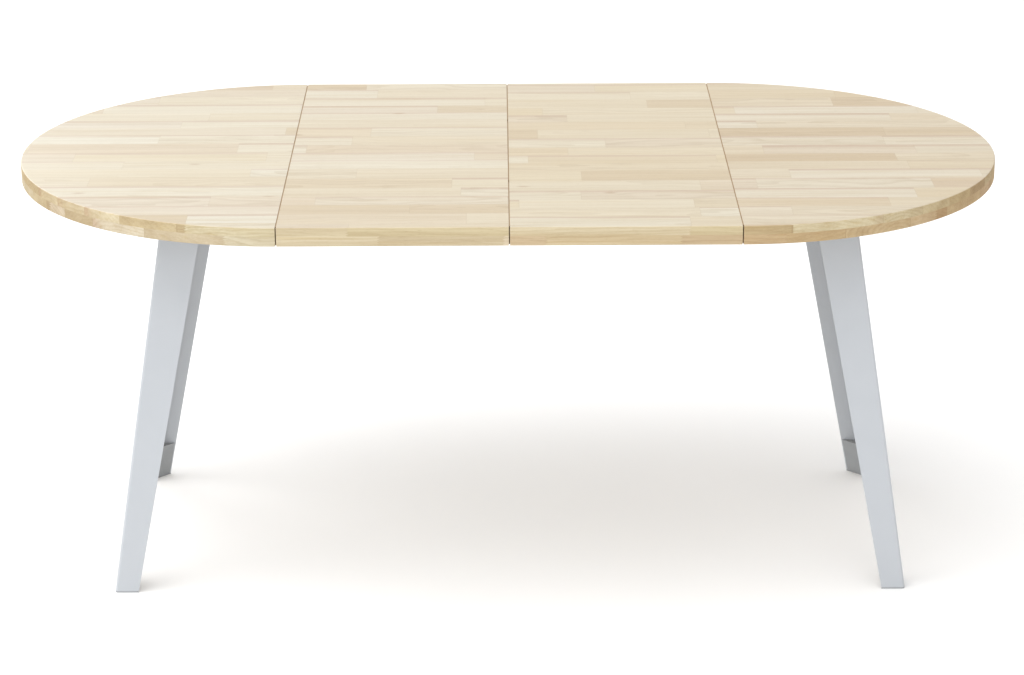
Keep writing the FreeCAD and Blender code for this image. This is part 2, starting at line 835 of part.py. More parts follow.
def hinge_pins():
    """One pin through each ear of the brackets, long enough for the wing's two ears."""
    reach = d.bracket_thick / 2 + d.ear_play + d.ear_thick
    pins = []
    for label, side in SIDES:
        middle = bracket_middle * side
        for sign in (1, -1):
            name = f"wing_hinge_pin_{len(pins)}"
            y = (middle - reach, middle + reach)
            pins.append(cross_rod(name, d.pin_radius, d.pin_offset * sign, y, pin_height))
    node(group("wing_hinge_pins", pins), "wing_hinge_pins")


def bracket_rivets():
    rivets = []
    for label, side in SIDES:
        for sign in (1, -1):
            name = f"bracket_rivet_{len(rivets)}"
            x = d.rivet_spread * sign
            outside = bracket_face + d.bracket_thick
            shank = across(slide_axis + channel_reach, outside, side)
            head = across(outside, outside + d.rivet_head_height, side)
            solids = [
                cross_rod(name + "_shank", d.bolt_radius, x, shank, rivet_height),
                cross_rod(name + "_head", d.bolt_head_radius, x, head, rivet_height),
            ]
            rivets.append(join(name, solids))
    node(group("bracket_rivets", rivets), "bracket_rivets")


# Wings
def stud_centres():
    return [(d.wing_width + d.latch_set - d.latch_arm, latch_spread * side) for name, side in SIDES]


def wing_board(end, turn):
    name = f"{end}_wing_board"
    body = new_body(name, turn)
    x = (half_gap, d.wing_width - half_gap)
    plan = rectangle(x, (-top_radius, top_radius))
    board = pad(body, outline(body, name + "_plan", plan, offset=under_board), d.board_thick)

    def upper_edge(box):
        return level_at(box, d.table_height) and near(abs(box.YMin), top_radius) and near(box.YLength, 0)

    fillet(body, board, name + "_arris", d.edge_round, upper_edge)
    deep = d.board_thick - d.pin_depth + d.ear_radius + d.mortise_play
    wide = d.bracket_thick / 2 + d.ear_play + d.ear_thick + d.mortise_play
    slot_end = d.pin_offset + d.ear_length + d.mortise_play
    for label, side in SIDES:
        middle = bracket_middle * side
        slot = rectangle((half_gap, slot_end), (middle - wide, middle + wide))
        plan = outline(body, f"{name}_{label}_mortise", slot, offset=under_board)
        pocket(body, plan, deep, upwards=True)
    plan = circles(body, name + "_stud_holes", stud_centres(), d.screw_radius + d.pin_fit, under_board)
    pocket(body, plan, d.screw_grip, upwards=True)
    node(body, name)


def wing_band(end, turn, label, side):
    name = f"{end}_wing_{label}_band"
    body = new_body(name, turn)
    x = (half_gap, d.wing_width - half_gap)
    plan = rectangle(x, across(top_radius - d.band_width, top_radius, side))
    strip = pad(body, outline(body, name + "_plan", plan, offset=under_band), d.band_thick)

    def lower_edge(box):
        return level_at(box, under_band) and near(box.YMin, top_radius * side) and near(box.YLength, 0)

    fillet(body, strip, name + "_arris", d.edge_round, lower_edge)
    node(body, name)


def hinge_plates(end, turn):
    """Plates under the wing, each with two ears that reach up into the mortise and hold the pin."""
    name = f"{end}_hinge_plates"
    plates = []
    for label, side in SIDES:
        middle = bracket_middle * side
        start = d.pin_offset + d.hinge_plate_start
        half = d.hinge_plate_width / 2
        under = under_board - d.hinge_plate_thick
        x = (start, start + d.hinge_plate_length)
        solids = [block(f"{name}_{label}_base", x, (middle - half, middle + half), (under, under_board))]
        holes = []
        for n, sign in enumerate((1, -1)):
            inner = (d.bracket_thick / 2 + d.ear_play) * sign
            ear = inner + d.ear_thick * sign
            y = (middle + inner, middle + ear) if sign > 0 else (middle + ear, middle + inner)
            web = (d.pin_offset, d.pin_offset + d.ear_length)
            top = pin_height + d.ear_radius
            solids.append(block(f"{name}_{label}_web_{n}", web, y, (under_board - d.cut_margin, top)))
            solids.append(cross_rod(f"{name}_{label}_eye_{n}", d.ear_radius, d.pin_offset, y, pin_height))
            hole = (y[0] - d.cut_margin, y[1] + d.cut_margin)
            radius = d.pin_radius + d.pin_fit
            holes.append(cross_rod(f"{name}_{label}_hole_{n}", radius, d.pin_offset, hole, pin_height))
        plates.append(cut(f"{name}_{label}", join(f"{name}_{label}_plate", solids), holes))
    node(group(name, plates, turn), name)


def rest_pads(end, turn):
    """Blocks under a wing that stand on its own half's runners."""
    name = f"{end}_rest_pads"
    stop = d.wing_width - d.pad_inset
    pads = []
    for label, side in SIDES:
        x = (stop - d.pad_length, stop)
        pads.append(block(f"{name}_{label}", x, runner_limits(side), (runner_top, under_board)))
    node(group(name, pads, turn), name)


# Seam supports and latches
def seam_tongues(end, turn):
    """Flat bars under a half top that reach below the wing's edge, with a rounded tip."""
    name = f"{end}_seam_tongues"
    z = (under_board - d.tongue_thick, under_board)
    bars = []
    far = top_radius - d.tongue_inset
    between_runners = (rack_reach + runner_reach) / 2
    for n, y in enumerate((-far, between_runners, far)):
        half = d.tongue_width / 2
        tip = d.wing_width - d.tongue_reach + half
        bar = block(f"{name}_bar_{n}", (tip, d.wing_width + d.tongue_hold), (y - half, y + half), z)
        bars.append(join(f"{name}_{n}", [bar, rod(f"{name}_tip_{n}", half, tip, y, z)]))
    node(group(name, bars, turn), name)


latch_top = under_board - d.latch_drop
latch_low = latch_top - d.latch_thick


def latch_pivots(end, turn):
    """Shouldered screws on which the latches swivel."""
    name = f"{end}_latch_pivots"
    pivots = []
    for n, (x, y) in enumerate(latch_pivot_centres()):
        neck_high = latch_top + d.running_play
        neck_low = latch_low - d.running_play
        solids = [
            rod(f"{name}_thread_{n}", d.screw_radius, x, y, (under_board, under_board + d.screw_grip)),
            rod(f"{name}_collar_{n}", d.latch_head_radius, x, y, (neck_high, under_board)),
            rod(f"{name}_shank_{n}", d.latch_shank_radius, x, y, (neck_low, neck_high)),
            rod(f"{name}_head_{n}", d.latch_head_radius, x, y, (neck_low - d.latch_head_height, neck_low)),
        ]
        pivots.append(join(f"{name}_{n}", solids))
    node(group(name, pivots, turn), name)


def latch(end, turn, label, side):
    """A swivel hook, shown open: its arm lies along the seam and its notch faces the stud's path."""
    name = f"{end}_{label}_latch"
    x = d.wing_width + d.latch_set
    pivot = latch_spread * side
    reach = d.latch_arm * side
    half = d.latch_width / 2
    z = (latch_low, latch_top)
    cut_z = (latch_low - d.cut_margin, latch_top + d.cut_margin)
    along = across(latch_spread, latch_spread + d.latch_arm + d.latch_tip, side)
    solids = [
        block(name + "_arm", (x - half, x + half), along, z),
        rod(name + "_boss", half, x, pivot, z),
    ]
    notch = d.stud_radius + d.latch_notch_play
    spot = pivot + reach
    cuts = [
        rod(name + "_bore", d.latch_shank_radius + d.pin_fit, x, pivot, cut_z),
        rod(name + "_notch_end", notch, x, spot, cut_z),
        block(name + "_notch", (x - half - d.cut_margin, x), (spot - notch, spot + notch), cut_z),
    ]
    node(cut(name, join(name + "_blank", solids), cuts, turn), name)


def latch_studs(end, turn):
    """Headless studs under the wing, which lift straight out of the hooks."""
    name = f"{end}_latch_studs"
    studs = []
    for n, (x, y) in enumerate(stud_centres()):
        flange = (under_board - d.stud_flange_thick, under_board)
        solids = [
            rod(f"{name}_thread_{n}", d.screw_radius, x, y, (under_board, under_board + d.screw_grip)),
            rod(f"{name}_flange_{n}", d.stud_flange_radius, x, y, flange),
            rod(f"{name}_post_{n}", d.stud_radius, x, y, (under_board - d.stud_length, under_board)),
        ]
        studs.append(join(f"{name}_{n}", solids))
    node(group(name, studs, turn), name)


# The whole table
for side_name, y_side in SIDES:
    carrier(side_name, y_side)
    pinion(side_name, y_side)
    pinion_axle(side_name, y_side)
    spine_bracket(side_name, y_side)
carrier_bolts()
hinge_pins()
bracket_rivets()
for end_name, half_turn in ENDS:
    top_board(end_name, half_turn)
    rim_band(end_name, half_turn)
    cross_tube(end_name, half_turn)
    for side_name, y_side in SIDES:
        drawn_side = -y_side if half_turn else y_side
        leg(end_name, half_turn, side_name, drawn_side)
        foot_block(end_name, half_turn, side_name, drawn_side)
        runner(end_name, half_turn, side_name, drawn_side)
        rack(end_name, half_turn, side_name, drawn_side)
        latch(end_name, half_turn, side_name, drawn_side)
        wing_band(end_name, half_turn, side_name, drawn_side)
    packers(end_name, half_turn)
    leg_screws(end_name, half_turn)
    runner_screws(end_name, half_turn)
    seam_tongues(end_name, half_turn)
    latch_pivots(end_name, half_turn)
    wing_board(end_name, half_turn)
    hinge_plates(end_name, half_turn)
    rest_pads(end_name, half_turn)
    latch_studs(end_name, half_turn)
doc.recompute()

# Every object has to be sound before anything is written
for thing in doc.Objects:
    if "Invalid" in thing.State or "Error" in thing.State:
        raise RuntimeError(f"{thing.Name} failed: {thing.State}")
for piece in nodes:
    if piece.Shape.isNull() or not piece.Shape.isValid():
        raise RuntimeError(f"{piece.Label} has no sound shape")
os.makedirs("parts", exist_ok=True)
for piece in nodes:
    piece.Shape.exportStep(f"parts/{piece.Label}.step")
print(len(nodes), "nodes,", sum(len(piece.Shape.Solids) for piece in nodes), "solids")
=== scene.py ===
# %% [markdown]
# # A drawn-out butterfly leaf table
# The table stands with its leaf in place: two half-round tops on splayed sheet-steel legs, and two wings
# between them that fold on pins beside the middle seam. The imported model already holds every piece at its
# real size, so this lesson adds what a drawing lacks: the glued-up hardwood, the powder coat, the plated
# fittings and the small fasteners underneath. The model is loaded first and never moved. Lengths are in
# metres throughout.

# %% Load the imported model
import math

import bmesh
import bpy
from mathutils import Matrix, Vector


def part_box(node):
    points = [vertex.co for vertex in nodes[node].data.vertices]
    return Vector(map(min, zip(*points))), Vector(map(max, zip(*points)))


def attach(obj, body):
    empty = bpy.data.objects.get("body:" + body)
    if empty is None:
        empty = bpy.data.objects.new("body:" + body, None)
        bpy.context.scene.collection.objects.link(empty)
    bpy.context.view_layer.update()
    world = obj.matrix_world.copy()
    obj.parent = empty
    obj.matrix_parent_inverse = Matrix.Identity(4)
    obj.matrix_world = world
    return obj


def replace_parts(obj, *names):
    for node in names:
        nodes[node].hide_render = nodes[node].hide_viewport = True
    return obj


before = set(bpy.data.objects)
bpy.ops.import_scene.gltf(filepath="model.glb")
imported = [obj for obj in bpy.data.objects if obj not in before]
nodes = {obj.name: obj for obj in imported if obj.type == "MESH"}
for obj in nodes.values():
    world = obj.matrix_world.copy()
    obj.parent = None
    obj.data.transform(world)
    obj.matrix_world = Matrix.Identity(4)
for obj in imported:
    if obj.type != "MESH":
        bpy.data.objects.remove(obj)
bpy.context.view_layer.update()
scene = bpy.context.scene
ENDS = ("left", "right")
SIDES = ("front", "back")

# %% [markdown]
# ## The camera
# A product picture of a long table is taken from well back with a long lens, so that the two ends stay
# alike. A camera can be aimed with constraints, but here its turn is known as three angles: it looks down
# on the top, almost straight from the front, with a trace of tilt. Written as axes of the picture, right,
# up and backwards, these become the columns of the camera's matrix.

# %% Set the camera
IMAGE_WIDTH_PX = 1024
FOCAL_LENGTH_PX = 3133
SENSOR_MM = 36
EYE = Vector((-0.0191, -5.6251, 2.3026))
LOOK_DOWN = math.radians(18.773)
LOOK_ASIDE = math.radians(0.256)
TILT = math.radians(-0.196)


def picture_axes():
    """The picture's right, up and backward directions."""
    level = math.cos(LOOK_DOWN)
    forward = Vector((math.sin(LOOK_ASIDE) * level, math.cos(LOOK_ASIDE) * level, -math.sin(LOOK_DOWN)))
    across = Vector((math.cos(LOOK_ASIDE), -math.sin(LOOK_ASIDE), 0))
    upward = across.cross(forward)
    right = across * math.cos(TILT) + upward * math.sin(TILT)
    return right, upward * math.cos(TILT) - across * math.sin(TILT), -forward


def put_in_scene(name, data):
    made = bpy.data.objects.new(name, data)
    scene.collection.objects.link(made)
    return made


camera_data = bpy.data.cameras.new("product_camera")
camera_data.sensor_fit = "HORIZONTAL"
camera_data.sensor_width = SENSOR_MM
camera_data.lens = FOCAL_LENGTH_PX / IMAGE_WIDTH_PX * SENSOR_MM
camera = put_in_scene("product_camera", camera_data)
camera.matrix_world = Matrix.Translation(EYE) @ Matrix(picture_axes()).transposed().to_4x4()
scene.camera = camera
print(f"lens {camera_data.lens:.1f} mm, {EYE.length:.2f} m from the origin")

# %% [markdown]
# ## Floor and light
# Pale furniture is photographed on white, in light that comes from everywhere with a little more from one
# side. A bright world gives the even part, and one broad lamp high on the left makes the left end lighter
# than the right one. A window behind on the left lays a pale sheen on that end of the top, and a soft
# ceiling light from the front shapes the legs. The floor is so wide that its far edge stays out of the
# picture. The plain view transform keeps the whites white.

# %% Set the floor and the light
FLOOR_WIDTH = 200
WORLD_LIGHT = 0.88
KEY_POWER, KEY_SIZE, KEY_PLACE = 24, 2.5, Vector((-1.8, -0.6, 3.4))
WINDOW_POWER, WINDOW_SIZE, WINDOW_PLACE = 60, 3.5, Vector((-3.4, 5.0, 2.6))
SUN_STRENGTH, SUN_SPREAD, SUN_PLACE = 1.9, math.radians(85), Vector((-0.70, -0.70, 1.00))
LAMP_TARGET = Vector((0, 0, 0.6))
scene.view_settings.view_transform = "Standard"


def disk_lamp(name, place, power, size):
    """A round lamp aimed at the table, unseen by the camera."""
    lamp_data = bpy.data.lights.new(name, "AREA")
    lamp_data.shape = "DISK"
    lamp_data.size = size
    lamp_data.energy = power
    lamp = put_in_scene(name, lamp_data)
    lamp.location = place
    lamp.rotation_euler = (LAMP_TARGET - place).to_track_quat("-Z", "Y").to_euler()
    lamp.visible_camera = False


world = bpy.data.worlds.new("studio")
world.use_nodes = True
background = world.node_tree.nodes["Background"]
background.inputs["Color"].default_value = (1, 1, 1, 1)
background.inputs["Strength"].default_value = WORLD_LIGHT
scene.world = world
disk_lamp("key_lamp", KEY_PLACE, KEY_POWER, KEY_SIZE)
disk_lamp("window_lamp", WINDOW_PLACE, WINDOW_POWER, WINDOW_SIZE)
sun_data = bpy.data.lights.new("ceiling_light", "SUN")
sun_data.energy = SUN_STRENGTH
sun_data.angle = SUN_SPREAD
sun = put_in_scene("ceiling_light", sun_data)
sun.rotation_euler = SUN_PLACE.to_track_quat("Z", "Y").to_euler()
half = FLOOR_WIDTH / 2
floor_corners = [(-half, -half, 0), (half, -half, 0), (half, half, 0), (-half, half, 0)]
floor_mesh = bpy.data.meshes.new("floor")
floor_mesh.from_pydata(floor_corners, [], [(0, 1, 2, 3)])
floor = put_in_scene("floor", floor_mesh)
print("floor", FLOOR_WIDTH, "m wide, three lights and a white world")

# %% [markdown]
# ## Helpers for finishes
# A finish is a small graph of nodes. Wiring nodes by hand in Python is wordy, so helpers do it: one adds
# a node and connects whatever is a socket, and the others are sums, limits, mixes, noise and colour ramps
# built on it.

# %% Helpers that add nodes
def add(tree, kind, inputs=(), **settings):
    """A shader node: sockets among its inputs are wired, numbers and colours are typed in."""
    made = tree.nodes.new("ShaderNode" + kind)
    for name, value in settings.items():
        setattr(made, name, value)
    for key, value in dict(inputs).items():
        if isinstance(value, bpy.types.NodeSocket):
            tree.links.new(value, made.inputs[key])
        else:
            made.inputs[key].default_value = value
    return made


def calc(tree, operation, *values):
    return add(tree, "Math", dict(enumerate(values)), operation=operation).outputs[0]


def clamped(tree, value, low, high):
    """Where a value lies between two limits, from 0 to 1, eased at both ends."""
    limits = {"Value": value, "From Min": low, "From Max": high}
    return add(tree, "MapRange", limits, interpolation_type="SMOOTHSTEP").outputs["Result"]


def mixed(tree, factor, first, second, way="MIX"):
    colours = {0: factor, 6: first, 7: second}
    return add(tree, "Mix", colours, data_type="RGBA", blend_type=way).outputs[2]


def noise(tree, vector, scale=1.0, detail=2.0):
    inputs = {"Vector": vector, "Scale": scale, "Detail": detail}
    return add(tree, "TexNoise", inputs).outputs["Fac"]


def stretched(tree, vector, scale):
    """A vector times a scale along each axis."""
    return add(tree, "VectorMath", {0: vector, 1: scale}, operation="MULTIPLY").outputs[0]


def ramp(tree, value, stops):
    made = add(tree, "ValToRGB", {"Fac": value})
    elements = made.color_ramp.elements
    while len(elements) < len(stops):
        elements.new(1.0)
    for element, (place, colour) in zip(elements, stops):
        element.position = place
        element.color = (*colour, 1)
    return made.outputs["Color"]


def two_tone(tree, value, dark, pale, spread=(0.3, 0.7)):
    """A colour that goes from dark to pale while the value crosses the spread."""
    return ramp(tree, value, list(zip(spread, (dark, pale))))


def object_place(tree):
    return add(tree, "TexCoord").outputs["Object"]


print("nodes can be added")

# %% [markdown]
# Every finish starts from an empty material and sets the same few inputs of its shader: a colour, a
# roughness that follows some pattern, and relief as bump. The floor is the first to get one, a white
# paper with faint clouds.

# %% Helpers that set a shader, and the floor's finish
PAPER_CLOUDS = 3.0
PAPER_DARK, PAPER_PALE = (0.93, 0.93, 0.93), (0.96, 0.96, 0.96)
PAPER_ROUGHNESS = 0.8
PAPER_GLOSS = 0.1


def new_finish(name):
    """An empty finish: its material, its graph and its shader."""
    material = bpy.data.materials.new(name)
    material.use_nodes = True
    tree = material.node_tree
    return material, tree, tree.nodes["Principled BSDF"]


def set_colour(tree, shader, colour):
    tree.links.new(colour, shader.inputs["Base Color"])


def set_roughness(tree, shader, pattern, share, least):
    """The least roughness everywhere, and a share of the pattern on top."""
    tree.links.new(calc(tree, "MULTIPLY_ADD", pattern, share, least), shader.inputs["Roughness"])


def set_bump(tree, shader, height, distance):
    bump = add(tree, "Bump", {"Height": height, "Distance": distance, "Strength": 1.0})
    tree.links.new(bump.outputs["Normal"], shader.inputs["Normal"])


floor_finish, tree, shader = new_finish("studio_floor")
paper = noise(tree, object_place(tree), PAPER_CLOUDS)
set_colour(tree, shader, two_tone(tree, paper, PAPER_DARK, PAPER_PALE, (0, 1)))
shader.inputs["Roughness"].default_value = PAPER_ROUGHNESS
shader.inputs["Specular IOR Level"].default_value = PAPER_GLOSS
floor_mesh.materials.append(floor_finish)
print("floor finished with", len(tree.nodes), "nodes")

# %% [markdown]
# ## The glued-up hardwood
# The tops are panels of short staves: rows about 58 mm wide, each row a chain of lengths finger-jointed
# end to end. An image texture would repeat and would stop at the edges. A solid pattern in the object's
# own coordinates runs through the wood instead, so the edges show the sides and ends of the same staves.
# All panels share it, so it is a node group, with the width of the rows, the length of the staves and a
# seed as its inputs. The sums in it are many, and short names for them keep the next cells readable.

# %% Open the stave group
def stave_group():
    group = bpy.data.node_groups.new("glued_staves", "ShaderNodeTree")
    for name in ("Row", "Length", "Seed", "End Grain And Shade"):
        group.interface.new_socket(name=name, in_out="INPUT", socket_type="NodeSocketFloat")
    for name, kind in (("Colour", "Color"), ("Height", "Float"), ("Roughness", "Float")):
        group.interface.new_socket(name=name, in_out="OUTPUT", socket_type="NodeSocket" + kind)
    return group


staves = stave_group()


def plus(first, second):
    return calc(staves, "ADD", first, second)


def less(first, second):
    return calc(staves, "SUBTRACT", first, second)


def times(first, second):
    return calc(staves, "MULTIPLY", first, second)


def over(first, second):
    return calc(staves, "DIVIDE", first, second)


def times_plus(value, factor, rest):
    return calc(staves, "MULTIPLY_ADD", value, factor, rest)


def between(value, limits):
    """How far a value has come from the first limit to the second, from 0 to 1."""
    return clamped(staves, value, *limits)


def from_middle(value):
    """A draw or a noise, which lies between 0 and 1, counted from its middle."""
    return less(value, 0.5)


def random_draw(number):
    """A random value and a random colour for each number."""
    return add(staves, "TexWhiteNoise", {"W": number}, noise_dimensions="1D").outputs


print("stave group with", len(staves.interface.items_tree), "inputs and outputs")

# %% [markdown]
# Rows come from rounding Y, with a slow sway that makes some of them wider than others. The lengths in a
# row come from a one-dimensional cell pattern along X, and each row starts it somewhere else. A zigzag in
# Z makes the fingers of the joints, which only show on the edges. Every stave has a number of its own,
# from which it draws its tone, its ring centre and its place in the grain. The steps below only keep
# those numbers apart.

# %% Lay out the rows and the lengths
ROW_SWAY = 0.006
ROW_SWAY_RATE = 21.0
FINGER_PITCH = 0.0042
FINGER_SLOPE = 2.4
LENGTH_RANDOMNESS = 0.8
SEED_ROW_SHIFT = 0.618
SEED_STEP = 17.3
ROW_START_SPREAD = 40.0
ROW_START_STEP = 7.0
STAVE_ROW_STEP = 11.3
STAVE_LENGTH_STEP = 3.1
entry = staves.nodes.new("NodeGroupInput").outputs
place = object_place(staves)
axes = add(staves, "SeparateXYZ", {0: place}).outputs
sway = times(calc(staves, "SINE", times_plus(axes["Y"], ROW_SWAY_RATE, entry["Seed"])), ROW_SWAY)
row_place = over(plus(axes["Y"], sway), entry["Row"])
row_place = times_plus(entry["Seed"], SEED_ROW_SHIFT, row_place)
row = calc(staves, "FLOOR", row_place)
in_row = calc(staves, "FRACT", row_place)
row_draw = random_draw(times_plus(entry["Seed"], SEED_STEP, row))["Value"]
finger = times(calc(staves, "PINGPONG", axes["Z"], FINGER_PITCH / 2), FINGER_SLOPE)
along = over(plus(axes["X"], finger), entry["Length"])
along = times_plus(row_draw, ROW_START_SPREAD, along)
along = times_plus(row, ROW_START_STEP, along)
cell_inputs = {"W": along, "Scale": 1.0, "Randomness": LENGTH_RANDOMNESS}
cells = add(staves, "TexVoronoi", cell_inputs, voronoi_dimensions="1D").outputs
joints = add(staves, "TexVoronoi", cell_inputs, voronoi_dimensions="1D", feature="DISTANCE_TO_EDGE").outputs
stave_number = times_plus(row, STAVE_ROW_STEP, times(cells["W"], STAVE_LENGTH_STEP))
draw = random_draw(stave_number)
drawn = add(staves, "SeparateColor", {0: draw["Color"]}).outputs
print("rows, lengths and draws:", len(staves.nodes), "nodes")

# %% [markdown]
# Inside one stave the grain is cut from a round trunk: growth rings are circles about a centre that lies
# beside or under the stave, drawn out along X with a slow wobble. On the face they show as long lines and
# pointed arches, on the ends as arcs.

# %% Growth rings
GRAIN_SHIFT = (3.0, 1.7, 2.3)
RING_LEVEL = 0.742
RING_WIDTH = 0.0065
CENTRE_ASIDE = 0.12
CENTRE_DEPTH = 0.05
CENTRE_LEAST_DEPTH = 0.012
WOBBLE_STRETCH = (2.6, 9.0, 9.0)
WOBBLE = 0.055
LATE_WOOD = (0.35, 1.0)
shift = stretched(staves, draw["Color"], GRAIN_SHIFT)
grain_place = add(staves, "VectorMath", {0: place, 1: shift}, operation="ADD").outputs[0]


def grain_noise(stretch, detail):
    return noise(staves, stretched(staves, grain_place, stretch), detail=detail)


row_offset = times(from_middle(in_row), entry["Row"])
ring_y = times_plus(from_middle(drawn["Green"]), CENTRE_ASIDE, row_offset)
centre_depth = times_plus(drawn["Blue"], CENTRE_DEPTH, CENTRE_LEAST_DEPTH)
ring_z = plus(less(axes["Z"], RING_LEVEL), centre_depth)
wobble = times(grain_noise(WOBBLE_STRETCH, detail=3.0), WOBBLE)
ring_radius = calc(staves, "SQRT", plus(times(ring_y, ring_y), times(ring_z, ring_z)))
ring_count = over(plus(ring_radius, wobble), RING_WIDTH)
late_wood = between(calc(staves, "FRACT", ring_count), LATE_WOOD)
print("growth rings", RING_WIDTH * 1000, "mm wide:", len(staves.nodes), "nodes")

# %% [markdown]
# Fine fibres, wider bands and streaks, and the short dark pores of this wood lie on top of the rings.
# They are the same noise, stretched along X by different amounts. Some staves carry a pinkish stripe of
# heartwood along one edge, a few have a small knot, and glue lines part the staves.

# %% Fibres, pores, knots and glue lines
FIBRE_STRETCH = (9.0, 620.0, 620.0)
BAND_STRETCH = (1.6, 45.0, 45.0)
STREAK_STRETCH = (3.0, 170.0, 170.0)
PORE_STRETCH = (85.0, 1500.0, 1500.0)
PORE_LIMITS = (0.60, 0.72)
GLUE_LINE = (0.0, 0.0006)
KNOT_GRID = (9.0, 22.0, 22.0)
KNOT_REACH = (0.16, 0.02)
KNOT_CHANCE = (0.84, 0.86)
HEART_RAGGEDNESS = 0.35
HEART_EDGE = (0.93, 1.15)
HEART_CHANCE = (0.50, 0.54)
fibre = grain_noise(FIBRE_STRETCH, detail=3.0)
band = grain_noise(BAND_STRETCH, detail=2.0)
streak = grain_noise(STREAK_STRETCH, detail=2.0)
pores = between(grain_noise(PORE_STRETCH, detail=1.0), PORE_LIMITS)
from_row_edge = times(calc(staves, "PINGPONG", row_place, 0.5), entry["Row"])
from_end = times(joints["Distance"], entry["Length"])
glue = less(1.0, between(calc(staves, "MINIMUM", from_row_edge, from_end), GLUE_LINE))
knot_place = stretched(staves, grain_place, KNOT_GRID)
knots = add(staves, "TexVoronoi", {"Vector": knot_place, "Scale": 1.0, "Randomness": 1.0}).outputs
knot_draw = add(staves, "SeparateColor", {0: knots["Color"]}).outputs["Red"]
knot = times(between(knots["Distance"], KNOT_REACH), between(knot_draw, KNOT_CHANCE))
heart_edge = times_plus(band, HEART_RAGGEDNESS, in_row)
heart = times(between(heart_edge, HEART_EDGE), between(drawn["Red"], HEART_CHANCE))
print("fibres, pores, knots and glue lines:", len(staves.nodes), "nodes")

# %% [markdown]
# Most staves are cream, some tan, and a few pinkish or straw-coloured. The colour of one is drawn from a
# ramp, and the others are mixed in where a draw, a streak, the heartwood or a knot asks for them. On the
# edges of the table single blocks are pinkish. The upright sides are yellower from the oil they have drunk
# and a little darker as painted shade. Where they cut across the fibres they are darker still, partly as
# end grain and partly as painted shade on the table's ends. Where that is follows from the surface's own
# direction.

# %% Colour of the staves
WOOD_TONES = [
    (0.00, (0.485, 0.390, 0.262)),
    (0.10, (0.510, 0.420, 0.293)),
    (0.16, (0.542, 0.462, 0.335)),
    (0.40, (0.555, 0.485, 0.366)),
    (0.75, (0.562, 0.500, 0.388)),
    (1.00, (0.570, 0.515, 0.410)),
]
PINK_WOOD = (0.460, 0.345, 0.255, 1)
KNOT_WOOD = (0.330, 0.200, 0.105, 1)
STRAW_WOOD = (0.530, 0.425, 0.255, 1)
# The edge colour is the oil's yellow plus painted shade on the upright sides; the end colour is end grain
# plus painted shade on the ends.
EDGE_OIL_AND_SHADE = (0.97, 0.95, 0.82, 1)
END_GRAIN_AND_SHADE = (0.74, 0.65, 0.54, 1)
PINK_CHANCE, PINK_AMOUNT = (0.80, 0.86), 0.25
STRAW_CHANCE, STRAW_AMOUNT = (0.80, 0.88), 0.30
STREAK_LIMITS, STREAK_AMOUNT = (0.50, 0.75), 0.40
BLOCK_CHANCE, BLOCK_AMOUNT = (0.74, 0.80), 0.36
HEART_AMOUNT = 0.80
KNOT_AMOUNT = 0.55
LEVEL_FACE = (0.3, 0.9)
END_FACE = (0.40, 0.98)


def with_some(tone, colour, where, amount):
    return mixed(staves, times(where, amount), tone, colour)


def darkened(tone, colour, where):
    return mixed(staves, where, tone, mixed(staves, 1.0, tone, colour, "MULTIPLY"))


facing = add(staves, "SeparateXYZ", {0: add(staves, "TexCoord").outputs["Normal"]}).outputs
on_edge = less(1.0, between(calc(staves, "ABSOLUTE", facing["Z"]), LEVEL_FACE))
end_face_and_shade = times(between(calc(staves, "ABSOLUTE", facing["X"]), END_FACE), entry["End Grain And Shade"])
block = times(on_edge, between(drawn["Red"], BLOCK_CHANCE))
tone = ramp(staves, draw["Value"], WOOD_TONES)
tone = with_some(tone, PINK_WOOD, between(drawn["Blue"], PINK_CHANCE), PINK_AMOUNT)
tone = with_some(tone, STRAW_WOOD, between(drawn["Green"], STRAW_CHANCE), STRAW_AMOUNT)
tone = with_some(tone, PINK_WOOD, heart, HEART_AMOUNT)
tone = with_some(tone, STRAW_WOOD, between(streak, STREAK_LIMITS), STREAK_AMOUNT)
tone = with_some(tone, KNOT_WOOD, knot, KNOT_AMOUNT)
tone = with_some(tone, PINK_WOOD, block, BLOCK_AMOUNT)
# Painted shade, with the oil's yellow, on the upright sides.
tone = darkened(tone, EDGE_OIL_AND_SHADE, on_edge)
# Painted shade, with the darker end grain, where the surface faces the ends.
tone = darkened(tone, END_GRAIN_AND_SHADE, end_face_and_shade)
print("colours of the staves:", len(staves.nodes), "nodes")

# %% [markdown]
# Rings, fibres, bands, streaks, pores and glue lines each change that colour a little. Their depths are
# added up to one shade, and the first three go deeper on the edges, where the saw has roughened the wood
# and the staves differ more from one another. Dark wood is warmer, so the shade counts more in green than
# in red, and most in blue. Fibres, pores and glue lines also give the relief, and the roughness is low on
# the sanded faces and higher on the edges.

# %% Shade, relief and roughness of the staves
SHADE_START = 1.03
FLAT_SAWN = (0.22, 0.05)
RING_DEPTH, FLAT_SAWN_DEPTH, EDGE_RING_DEPTH = -0.035, -0.065, -0.015
FIBRE_DEPTH, EDGE_FIBRE_DEPTH = -0.13, -0.16
BAND_DEPTH, EDGE_BAND_DEPTH = -0.20, -0.25
STREAK_DEPTH = -0.11
PORE_DEPTH = -0.11
GLUE_DEPTH = -0.14
EDGE_TONE_MIDDLE, EDGE_TONE_DEPTH = 0.55, 0.22
GREEN_POWER, BLUE_POWER = 1.25, 1.6
FIBRE_RELIEF, PORE_RELIEF = 0.35, -0.8
FACE_ROUGHNESS, EDGE_ADDS, FIBRE_ADDS = 0.30, 0.45, 0.16
flat_sawn = between(calc(staves, "ABSOLUTE", from_middle(drawn["Green"])), FLAT_SAWN)
ring_depth = times_plus(on_edge, EDGE_RING_DEPTH, times_plus(flat_sawn, FLAT_SAWN_DEPTH, RING_DEPTH))
